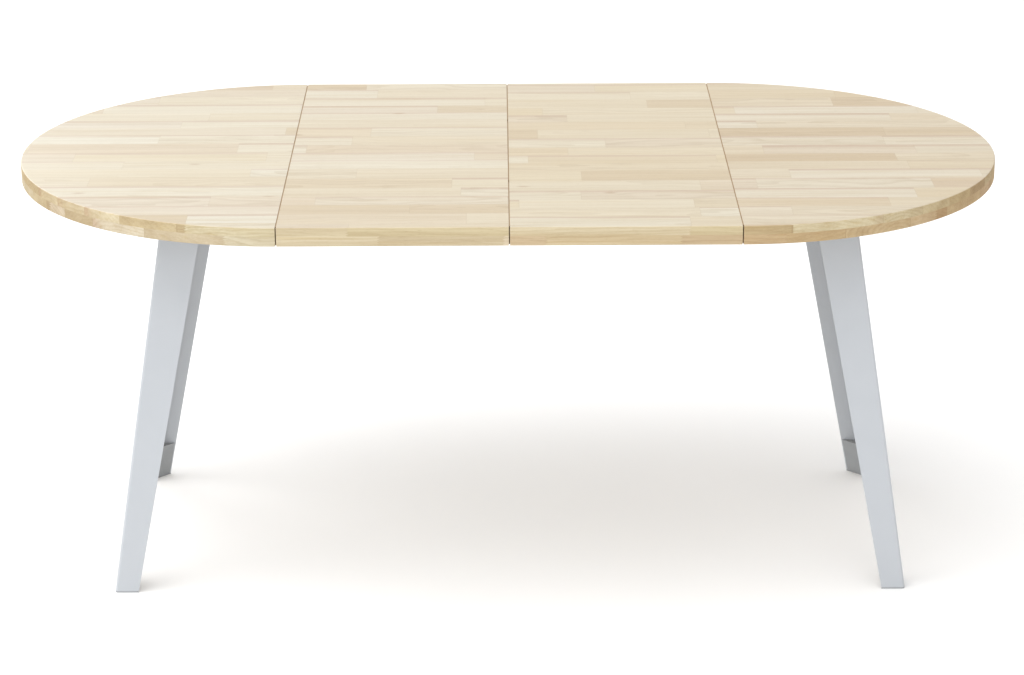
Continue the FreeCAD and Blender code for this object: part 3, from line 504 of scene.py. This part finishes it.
fibre_depth = times_plus(on_edge, EDGE_FIBRE_DEPTH, FIBRE_DEPTH)
band_depth = times_plus(on_edge, EDGE_BAND_DEPTH, BAND_DEPTH)
edge_tone = times(on_edge, less(draw["Value"], EDGE_TONE_MIDDLE))
shade = times_plus(late_wood, ring_depth, SHADE_START)
shade = times_plus(from_middle(fibre), fibre_depth, shade)
shade = times_plus(from_middle(band), band_depth, shade)
shade = times_plus(from_middle(streak), STREAK_DEPTH, shade)
shade = times_plus(pores, PORE_DEPTH, shade)
shade = times_plus(glue, GLUE_DEPTH, shade)
shade = times_plus(edge_tone, EDGE_TONE_DEPTH, shade)
green_shade = calc(staves, "POWER", shade, GREEN_POWER)
blue_shade = calc(staves, "POWER", shade, BLUE_POWER)
shade_colour = add(staves, "CombineColor", {0: shade, 1: green_shade, 2: blue_shade}).outputs[0]
relief = times_plus(fibre, FIBRE_RELIEF, times(pores, PORE_RELIEF))
roughness = times_plus(fibre, FIBRE_ADDS, times_plus(on_edge, EDGE_ADDS, FACE_ROUGHNESS))
leave = staves.nodes.new("NodeGroupOutput").inputs
staves.links.new(mixed(staves, 1.0, tone, shade_colour, "MULTIPLY"), leave["Colour"])
staves.links.new(less(relief, glue), leave["Height"])
staves.links.new(roughness, leave["Roughness"])
print("stave group:", len(staves.nodes), "nodes")

# %% [markdown]
# ## Boards and bands
# Each panel is its own glue-up, so each gets the same pattern with another seed. Each also gets a tint
# that is painted light: a pale bluish painted sheen on the left top, and painted shade that deepens from
# the left wing to the right top. The bands glued under the rim are made of shorter staves with paler
# end grain. All the wood is oiled, so the shader gets the refractive index of dried oil.

# %% Finish the boards and the bands
BOARD_STAVES = {"Row": 0.058, "Length": 0.40, "End Grain And Shade": 1.0}
BAND_STAVES = {"Row": 0.060, "Length": 0.20, "End Grain And Shade": 0.4}
GRAIN_RELIEF = 0.00006
OIL_IOR = 1.48
# The board tints are painted light: the left top paler and bluer as a painted sheen, the boards darker and
# yellower toward the right as painted shade.
BOARDS = {
    "left_top_board": (27.8, (0.99, 1.01, 1.03, 1)),
    "left_wing_board": (63.6, (0.975, 0.98, 0.98, 1)),
    "right_wing_board": (14.1, (0.96, 0.955, 0.93, 1)),
    "right_top_board": (33.3, (0.94, 0.92, 0.89, 1)),
}
# The rim bands are darker as painted shade on the rounded ends, the right one also yellower from its end
# grain. The wing bands are darker as painted shade, most on the right.
RIM_BANDS = {
    "left_rim_band": (31.4, (0.92, 0.93, 0.98, 1)),
    "right_rim_band": (36.7, (0.85, 0.74, 0.64, 1)),
}
WING_BAND_PAINTED_SHADE = {"left": (0.97, 0.95, 0.97, 1), "right": (0.85, 0.77, 0.70, 1)}
WING_BAND_SEED, WING_BAND_SEED_STEP = 42.0, 5.3


def stave_finish(name, sizes, seed, painted_light_tint):
    material, tree, shader = new_finish(name)
    pattern = tree.nodes.new("ShaderNodeGroup")
    pattern.node_tree = staves
    for key, value in {**sizes, "Seed": seed}.items():
        pattern.inputs[key].default_value = value
    # The tint multiplies this panel's painted light into its colour.
    set_colour(tree, shader, mixed(tree, 1.0, pattern.outputs["Colour"], painted_light_tint, "MULTIPLY"))
    tree.links.new(pattern.outputs["Roughness"], shader.inputs["Roughness"])
    set_bump(tree, shader, pattern.outputs["Height"], GRAIN_RELIEF)
    shader.inputs["IOR"].default_value = OIL_IOR
    return material


def dress(node_name, material):
    """Gives one node of the model its finish."""
    slots = nodes[node_name].data.materials
    slots.clear()
    slots.append(material)


bands = dict(RIM_BANDS)
wing_bands = [(end, f"{end}_wing_{side}_band") for end in ENDS for side in SIDES]
for number, (end, node_name) in enumerate(wing_bands):
    bands[node_name] = (WING_BAND_SEED + WING_BAND_SEED_STEP * number, WING_BAND_PAINTED_SHADE[end])
for panels, sizes in ((BOARDS, BOARD_STAVES), (bands, BAND_STAVES)):
    for node_name, (seed, painted_light_tint) in panels.items():
        dress(node_name, stave_finish(node_name + "_wood", sizes, seed, painted_light_tint))
print("wood on", len(BOARDS), "boards and", len(bands), "bands")

# %% [markdown]
# ## Powder coat
# The legs are folded sheet with a light grey powder coat. Powder melts into a skin with a faint orange
# peel, a ripple about a millimetre wide, and a satin gloss that varies a little. The hidden frame has the
# same coat in dark.

# %% Finish the legs and the centre frame
COAT_CLOUDS = 14.0
PEEL_SCALE = 700.0
PEEL_RELIEF = 0.00004
PEEL_ROUGHNESS = 0.10


def powder_coat(name, pale, dark, roughness):
    material, tree, shader = new_finish(name)
    place = object_place(tree)
    clouds = noise(tree, place, COAT_CLOUDS, detail=3.0)
    peel = noise(tree, place, PEEL_SCALE, detail=1.0)
    set_colour(tree, shader, two_tone(tree, clouds, dark, pale))
    set_bump(tree, shader, peel, PEEL_RELIEF)
    set_roughness(tree, shader, peel, PEEL_ROUGHNESS, roughness)
    return material


leg_coat = powder_coat(
    "leg_powder_coat", pale=(0.452, 0.474, 0.502), dark=(0.438, 0.460, 0.488), roughness=0.38,
)
frame_coat = powder_coat(
    "frame_powder_coat", pale=(0.060, 0.062, 0.066), dark=(0.048, 0.050, 0.054), roughness=0.42,
)
for end in ENDS:
    for side in SIDES:
        dress(f"{end}_{side}_leg", leg_coat)
    dress(f"{end}_cross_tube", frame_coat)
for side in SIDES:
    dress(f"{side}_carrier", frame_coat)
    dress(f"{side}_spine_bracket", frame_coat)
print("powder coat on four legs and six frame pieces")

# %% [markdown]
# ## Slides, gears and feet
# The runners and packers are beech: pinkish, close-grained, with the short dark flecks that give it away.
# The gears are milky nylon, the foot blocks grey moulded plastic with a fine spark-eroded grain, and the
# rest pads rubber. These three are moulded, so one finish serves them all, with other colours and another
# grain.

# %% Finish the runners, gears, feet and pads
BEECH_STREAKS = (6.0, 260.0, 260.0)
BEECH_FLECKS = (240.0, 1300.0, 1300.0)
BEECH_DARK, BEECH_PALE = (0.50, 0.315, 0.175), (0.62, 0.42, 0.255)
BEECH_SPREAD = (0.25, 0.75)
BEECH_RELIEF = 0.00005
BEECH_ROUGHNESS, BEECH_STREAK_ROUGHNESS = 0.45, 0.15
FLECK_LIMITS, FLECK_AMOUNT = (0.62, 0.72), 0.45
FLECK_WOOD = (0.30, 0.165, 0.085, 1)
FLOW_SCALE = 35.0
GRAIN_ROUGHNESS = 0.2


def beech(name):
    material, tree, shader = new_finish(name)
    place = object_place(tree)
    streaks = noise(tree, stretched(tree, place, BEECH_STREAKS), detail=3.0)
    flecks = noise(tree, stretched(tree, place, BEECH_FLECKS), detail=0.0)
    flecked = calc(tree, "MULTIPLY", clamped(tree, flecks, *FLECK_LIMITS), FLECK_AMOUNT)
    plain = two_tone(tree, streaks, BEECH_DARK, BEECH_PALE, BEECH_SPREAD)
    set_colour(tree, shader, mixed(tree, flecked, plain, FLECK_WOOD))
    set_bump(tree, shader, streaks, BEECH_RELIEF)
    set_roughness(tree, shader, streaks, BEECH_STREAK_ROUGHNESS, BEECH_ROUGHNESS)
    return material


def moulded(name, pale, dark, roughness, grain_scale, grain_relief):
    """A moulded plastic or rubber with a grained skin and a trace of flow."""
    material, tree, shader = new_finish(name)
    place = object_place(tree)
    flow = noise(tree, place, FLOW_SCALE)
    grain = noise(tree, place, grain_scale)
    set_colour(tree, shader, two_tone(tree, flow, dark, pale))
    set_bump(tree, shader, grain, grain_relief)
    set_roughness(tree, shader, grain, GRAIN_ROUGHNESS, roughness)
    return material


runner_beech = beech("runner_beech")
gear_nylon = moulded(
    "gear_nylon", pale=(0.78, 0.76, 0.69), dark=(0.70, 0.68, 0.61),
    roughness=0.32, grain_scale=500.0, grain_relief=0.00001,
)
foot_plastic = moulded(
    "foot_plastic", pale=(0.315, 0.326, 0.336), dark=(0.285, 0.296, 0.306),
    roughness=0.45, grain_scale=1400.0, grain_relief=0.00004,
)
pad_rubber = moulded(
    "pad_rubber", pale=(0.030, 0.030, 0.031), dark=(0.020, 0.020, 0.021),
    roughness=0.70, grain_scale=900.0, grain_relief=0.00006,
)
for end in ENDS:
    dress(f"{end}_packers", runner_beech)
    dress(f"{end}_rest_pads", pad_rubber)
    for side in SIDES:
        dress(f"{end}_{side}_runner", runner_beech)
        dress(f"{end}_{side}_rack", gear_nylon)
        dress(f"{end}_{side}_foot_block", foot_plastic)
for side in SIDES:
    dress(f"{side}_pinion", gear_nylon)
print("beech, nylon, plastic and rubber done")

# %% [markdown]
# ## Plated fittings
# Hinge plates, tongues, latches and pins are zinc plated steel: metal, with a dull blue-grey bloom in
# patches and fine lines from rolling. A metal shows little but reflections, so the bloom goes into the
# roughness as well as into the colour.

# %% Finish the fittings
BLOOM_SCALE = 60.0
ROLLING_LINES = (30.0, 900.0, 900.0)
ROLLING_RELIEF = 0.00002
ZINC_ROUGHNESS, BLOOM_ROUGHNESS = 0.22, 0.3
END_FITTINGS = (
    "runner_screws", "seam_tongues", "leg_screws", "latch_pivots", "hinge_plates", "latch_studs",
)


def plated(name, bright, dull):
    material, tree, shader = new_finish(name)
    place = object_place(tree)
    bloom = noise(tree, place, BLOOM_SCALE, detail=4.0)
    lines = noise(tree, stretched(tree, place, ROLLING_LINES), detail=1.0)
    set_colour(tree, shader, two_tone(tree, bloom, dull, bright))
    set_bump(tree, shader, lines, ROLLING_RELIEF)
    set_roughness(tree, shader, bloom, BLOOM_ROUGHNESS, ZINC_ROUGHNESS)
    shader.inputs["Metallic"].default_value = 1.0
    return material


zinc = plated("zinc_plating", bright=(0.66, 0.67, 0.67), dull=(0.50, 0.52, 0.54))
fitting_names = ["carrier_bolts", "wing_hinge_pins", "bracket_rivets"]
fitting_names += [f"{side}_pinion_axle" for side in SIDES]
fitting_names += [f"{end}_{kind}" for end in ENDS for kind in END_FITTINGS]
fitting_names += [f"{end}_{side}_latch" for end in ENDS for side in SIDES]
for node_name in fitting_names:
    dress(node_name, zinc)
print("zinc on", len(fitting_names), "nodes")

# %% [markdown]
# ## Strips in the seams
# The three seams are thin dark lines, so something closes them: a felt strip, glued to one edge of each
# seam, a little lower than the top and almost as thick as the seam is wide. Its brown is painted shade for
# the deep gap of the seam. A new piece is a mesh that rides on one body and fills one material slot. Its
# faces join rings of points that are stacked in a row, which will serve the fasteners and the welds too.

# %% Tools for new pieces, and the felt
FUZZ_SCALE = 900.0
FUZZ_RELIEF = 0.0003
# The felt's colours are painted shade for the deep seam gap.
FELT_SHADE_DARK, FELT_SHADE_PALE = (0.31, 0.215, 0.132), (0.41, 0.295, 0.187)
FELT_ROUGHNESS = 0.95


def felt(name):
    material, tree, shader = new_finish(name)
    fuzz = noise(tree, object_place(tree), FUZZ_SCALE, detail=3.0)
    set_colour(tree, shader, two_tone(tree, fuzz, FELT_SHADE_DARK, FELT_SHADE_PALE))
    set_bump(tree, shader, fuzz, FUZZ_RELIEF)
    shader.inputs["Roughness"].default_value = FELT_ROUGHNESS
    return material


def add_piece(name, mesh, body, material):
    piece = put_in_scene(name, mesh)
    mesh.materials.append(material)
    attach(piece, body)
    return piece


def mesh_of(name, points, faces):
    mesh = bpy.data.meshes.new(name)
    mesh.from_pydata(points, [], faces)
    return mesh


def stacked_faces(first, rings, count):
    """The faces of rings of points that are stacked in order: a cap at each end and quads between them."""
    last = first + (rings - 1) * count
    faces = [tuple(reversed(range(first, first + count))), tuple(range(last, last + count))]
    for base in range(first, last, count):
        for step in range(count):
            after = (step + 1) % count
            faces.append((base + step, base + after, base + count + after, base + count + step))
    return faces


# The seam strips' felt, whose brown is painted shade.
seam_shade_felt = felt("seam_shade_felt")
print("felt finished with", len(seam_shade_felt.node_tree.nodes), "nodes")

# %% [markdown]
# A strip is an outline in Y and Z, deep where the bands are, pushed to its thickness along X. The strips
# of the outer seams ride on the half tops. The middle one rides on the left wing and is cut where the
# brackets pass when that wing folds.

# %% Add the seam strips
STRIP_THICK = 0.0019
STRIP_DROP = 0.0008
STRIP_INSET = 0.002
STRIP_LIFT = 0.0003
STRIP_END = 0.009
BRACKET_PLAY = 0.001


def strip_outlines(cuts):
    """The outlines of a strip in Y and Z, one for each stretch that the cuts leave."""
    band_low, band_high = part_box("left_wing_front_band")
    board_low, board_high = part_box("left_wing_board")
    top = board_high.z - STRIP_DROP
    shallow = board_low.z + STRIP_LIFT
    deep = band_low.z + STRIP_LIFT
    inner = band_high.y - STRIP_INSET
    reach = board_high.y - STRIP_END
    bounds = [-reach, *cuts, reach]
    outlines = []
    for first, last in zip(bounds[::2], bounds[1::2]):
        lower = [(first, deep if first < inner else shallow)]
        if first < inner < last:
            lower += [(inner, deep), (inner, shallow)]
        if first < -inner < last:
            lower += [(-inner, shallow), (-inner, deep)]
        lower.append((last, deep if last > -inner else shallow))
        outlines.append(lower + [(last, top), (first, top)])
    return outlines


def strip_mesh(name, x_from, x_to, cuts=()):
    points = []
    faces = []
    for outline in strip_outlines(cuts):
        faces += stacked_faces(len(points), 2, len(outline))
        points += [(x, y, z) for x in sorted((x_from, x_to)) for y, z in outline]
    return mesh_of(name, points, faces)


middle_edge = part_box("left_wing_board")[1].x
bracket_low, bracket_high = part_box("back_spine_bracket")
bracket_room = (bracket_low.y - BRACKET_PLAY, bracket_high.y + BRACKET_PLAY)
cuts = [-bracket_room[1], -bracket_room[0], *bracket_room]
mesh = strip_mesh("middle_seam_strip", middle_edge, middle_edge + STRIP_THICK, cuts)
add_piece("middle_seam_strip", mesh, "left_wing", seam_shade_felt)
left_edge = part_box("left_top_board")[1].x
right_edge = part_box("right_top_board")[0].x
for end, edge, way in (("left", left_edge, 1), ("right", right_edge, -1)):
    mesh = strip_mesh(f"{end}_seam_strip", edge, edge + way * STRIP_THICK)
    add_piece(f"{end}_seam_strip", mesh, f"{end}_half", seam_shade_felt)
print("three seam strips", STRIP_THICK * 1000, "mm thick")

# %% [markdown]
# ## Screws, bolts and rivets
# The drawing shows each fastener as plain cylinders, enough to find its place. A real one has a domed
# head with a hex socket, or a bevelled hexagon. Such a piece is turned from a short profile: rings of
# points, round or six-sided, stacked along an axis and joined by quads. The places are read from the
# drawing's own fasteners, one for each separate lump of its mesh, and the detailed ones then stand in for
# them.

# %% Tools for turned pieces
RING_POINTS = 24
SHARP_ANGLE = math.radians(32)
SAME_POINT = 1e-6
DOWN = Vector((0, 0, -1))


def ring(radius, height, six_sided):
    """One cross-section: a circle, or a hexagon whose flats lie at the radius."""
    points = []
    for step in range(RING_POINTS):
        angle = math.tau * step / RING_POINTS
        from_flat = (angle + math.pi / 6) % (math.pi / 3) - math.pi / 6
        reach = radius / math.cos(from_flat) if six_sided else radius
        points.append(Vector((reach * math.cos(angle), reach * math.sin(angle), height)))
    return points


def turned(name, profile, seats):
    """One mesh with a copy of a turned piece on every seat, which is a place and an outward direction."""
    points = []
    faces = []
    for place, outward in seats:
        turn = outward.to_track_quat("Z", "X").to_matrix()
        faces += stacked_faces(len(points), len(profile), RING_POINTS)
        for section in profile:
            points += [place + turn @ point for point in ring(*section)]
    mesh = mesh_of(name, points, faces)
    mesh.shade_smooth()
    mesh.set_sharp_from_angle(angle=SHARP_ANGLE)
    return mesh


def lumps(node_name):
    """The box of each separate lump of a node's mesh, as its lowest and highest corner."""
    work = bmesh.new()
    work.from_mesh(nodes[node_name].data)
    bmesh.ops.remove_doubles(work, verts=work.verts, dist=SAME_POINT)
    seen = set()
    boxes = []
    for start in work.verts:
        if start in seen:
            continue
        seen.add(start)
        lump = [start]
        for vertex in lump:
            for neighbour in (edge.other_vert(vertex) for edge in vertex.link_edges):
                if neighbour not in seen:
                    seen.add(neighbour)
                    lump.append(neighbour)
        low = Vector([min(vertex.co[axis] for vertex in lump) for axis in range(3)])
        high = Vector([max(vertex.co[axis] for vertex in lump) for axis in range(3)])
        boxes.append((low, high))
    work.free()
    return boxes


print("leg screws found at one end:", len(lumps("left_leg_screws")))

# %% [markdown]
# Screws sit with their heads against the plate or in the runner's counterbore, so only the head is made.
# The bolts through the frame show at both ends, with the nut under the cross tube. A profile lists rings
# from the seat outwards, as shares of the head's radius and height. The bolt's own is in metres.

# %% Fit the screws and the bolts
ROUND, SIX_SIDED = False, True
HEAD_HEIGHT = 0.003
BUTTON_HEAD = [
    (1.00, 0.00, ROUND), (1.00, 0.20, ROUND), (0.93, 0.52, ROUND), (0.74, 0.82, ROUND),
    (0.53, 0.96, ROUND), (0.44, 1.00, ROUND), (0.32, 1.00, SIX_SIDED), (0.32, 0.35, SIX_SIDED),
]
BOLT_FLAT = 0.0047
BOLT_BEVEL = 0.0006
BOLT_RADIUS = 0.003
NUT_HEIGHT = 0.004


def sized(profile, radius, height):
    return [(share * radius, rise * height, six_sided) for share, rise, six_sided in profile]


def stand_in(node_name, body, profile, seats):
    """A detailed piece in the place of a node of the drawing."""
    mesh = turned(node_name + "_detail", profile, seats)
    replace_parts(add_piece(node_name + "_detail", mesh, body, zinc), node_name)


def middle_of(low, high, height):
    return Vector(((low.x + high.x) / 2, (low.y + high.y) / 2, height))


for end in ENDS:
    for kind in ("leg_screws", "runner_screws"):
        boxes = lumps(f"{end}_{kind}")
        head = sized(BUTTON_HEAD, (boxes[0][1].x - boxes[0][0].x) / 2, HEAD_HEIGHT)
        seats = [(middle_of(low, high, low.z + HEAD_HEIGHT), DOWN) for low, high in boxes]
        stand_in(f"{end}_{kind}", f"{end}_half", head, seats)
boxes = lumps("carrier_bolts")
bolt_length = boxes[0][1].z - boxes[0][0].z
nut_start = bolt_length - NUT_HEIGHT
bolt = [
    (BOLT_FLAT - BOLT_BEVEL, 0, ROUND), (BOLT_FLAT, BOLT_BEVEL, SIX_SIDED),
    (BOLT_FLAT, NUT_HEIGHT, SIX_SIDED), (BOLT_RADIUS, NUT_HEIGHT, ROUND),
    (BOLT_RADIUS, nut_start, ROUND), (BOLT_FLAT, nut_start, SIX_SIDED),
    (BOLT_FLAT, bolt_length - BOLT_BEVEL, SIX_SIDED), (BOLT_FLAT - BOLT_BEVEL, bolt_length, ROUND),
    (BOLT_RADIUS, bolt_length, ROUND), (BOLT_RADIUS, bolt_length - BOLT_BEVEL, ROUND),
]
seats = [(middle_of(low, high, high.z), DOWN) for low, high in boxes]
stand_in("carrier_bolts", "centre_frame", bolt, seats)
print("screws, bolts and nuts stand in for five nodes")

# %% [markdown]
# The rivets are domes on the brackets, which face forwards or backwards. The drawing leaves out the small
# screws that hold the tongues and the hinge plates. Each tongue has two on the side of its half top, each
# hinge plate two behind the bracket, all with oval heads.

# %% Rivets and the small plate screws
RIVET_RISE = 0.0025
RIVET_HEAD = [
    (1.00, 0.00, ROUND), (0.97, 0.30, ROUND), (0.84, 0.65, ROUND), (0.58, 0.90, ROUND), (0.22, 1.00, ROUND),
]
OVAL_RADIUS = 0.004
OVAL_RISE = 0.001
OVAL_HEAD = [
    (1.00, 0.00, ROUND), (0.86, 0.55, ROUND), (0.62, 0.90, ROUND), (0.46, 1.00, ROUND),
    (0.36, 1.00, SIX_SIDED), (0.36, 0.20, SIX_SIDED),
]
TONGUE_SCREWS = (0.034, 0.052)
HINGE_SCREW_INSET = 0.010
HINGE_SCREW_EDGE = 0.008


def plate_screws(name, body, places):
    seats = [(place, DOWN) for place in places]
    mesh = turned(name, sized(OVAL_HEAD, OVAL_RADIUS, OVAL_RISE), seats)
    add_piece(name, mesh, body, zinc)


boxes = lumps("bracket_rivets")
rivet_radius = (boxes[0][1].z - boxes[0][0].z) / 2
rivet_seats = []
for low, high in boxes:
    outward = Vector((0, math.copysign(1, high.y), 0))
    face = max(abs(low.y), abs(high.y)) - RIVET_RISE
    rivet_seats.append((Vector(((low.x + high.x) / 2, outward.y * face, (low.z + high.z) / 2)), outward))
stand_in("bracket_rivets", "centre_frame", sized(RIVET_HEAD, rivet_radius, RIVET_RISE), rivet_seats)
for end, way in (("left", -1), ("right", 1)):
    tongue_places = []
    for low, high in lumps(f"{end}_seam_tongues"):
        outer = high.x if way > 0 else low.x
        for inset in TONGUE_SCREWS:
            tongue_places.append(Vector((outer - way * inset, (low.y + high.y) / 2, low.z)))
    plate_screws(f"{end}_tongue_screws", f"{end}_half", tongue_places)
    hinge_places = []
    for low, high in lumps(f"{end}_hinge_plates"):
        outer = high.x if way > 0 else low.x
        for across in (low.y + HINGE_SCREW_EDGE, high.y - HINGE_SCREW_EDGE):
            hinge_places.append(Vector((outer - way * HINGE_SCREW_INSET, across, low.z)))
    plate_screws(f"{end}_hinge_screws", f"{end}_wing", hinge_places)
    print(end, len(tongue_places), "tongue screws and", len(hinge_places), "hinge screws")

# %% [markdown]
# ## Weld beads
# The folded sheet is welded to its top plate from inside, under the same coat. A bead is a thin round
# that swells and narrows as it was laid, so its tube gets a ripple. The path follows the inner corner of
# the L, found from the box of the leg: the plate stands out by one margin all round, and the leg is as
# deep as it is wide.

# %% Lay the weld beads
PLATE_MARGIN = 0.016
PLATE_THICK = 0.004
SHEET_THICK = 0.003
BEAD_RADIUS = 0.0022
BEAD_RIPPLE = 0.0004
BEAD_PITCH = 0.005
BEAD_STEP = 0.00125
BEAD_POINTS = 8


def bead_path(leg_name, way_x, way_y):
    """Points along the inner corner of a leg's sheet, just under its plate."""
    low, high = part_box(leg_name)
    level = high.z - PLATE_THICK
    width = high.y - low.y - 2 * PLATE_MARGIN
    inner_x = (low.x if way_x > 0 else high.x) + way_x * PLATE_MARGIN
    outer_y = (high.y if way_y > 0 else low.y) - way_y * PLATE_MARGIN
    corner = Vector((inner_x + way_x * (width - SHEET_THICK), outer_y - way_y * SHEET_THICK, level))
    start = Vector((inner_x, corner.y, level))
    end = Vector((corner.x, outer_y - way_y * width, level))
    steps = int((width - SHEET_THICK) / BEAD_STEP)
    first_run = [start.lerp(corner, step / steps) for step in range(steps)]
    return first_run + [corner.lerp(end, step / steps) for step in range(steps + 1)]


def bead_mesh(name, path):
    points = []
    for number, point in enumerate(path):
        before = path[max(number - 1, 0)]
        after = path[min(number + 1, len(path) - 1)]
        turn = (after - before).to_track_quat("Z", "X").to_matrix()
        radius = BEAD_RADIUS + BEAD_RIPPLE * math.sin(math.tau * number * BEAD_STEP / BEAD_PITCH)
        for step in range(BEAD_POINTS):
            angle = math.tau * step / BEAD_POINTS
            points.append(point + turn @ Vector((radius * math.cos(angle), radius * math.sin(angle), 0)))
    mesh = mesh_of(name, points, stacked_faces(0, len(path), BEAD_POINTS))
    mesh.shade_smooth()
    return mesh


for end, way_x in (("left", -1), ("right", 1)):
    for side, way_y in (("front", -1), ("back", 1)):
        name = f"{end}_{side}_leg_weld"
        path = bead_path(f"{end}_{side}_leg", way_x, way_y)
        add_piece(name, bead_mesh(name, path), f"{end}_half", leg_coat)
print("four weld beads of", len(path), "rings")
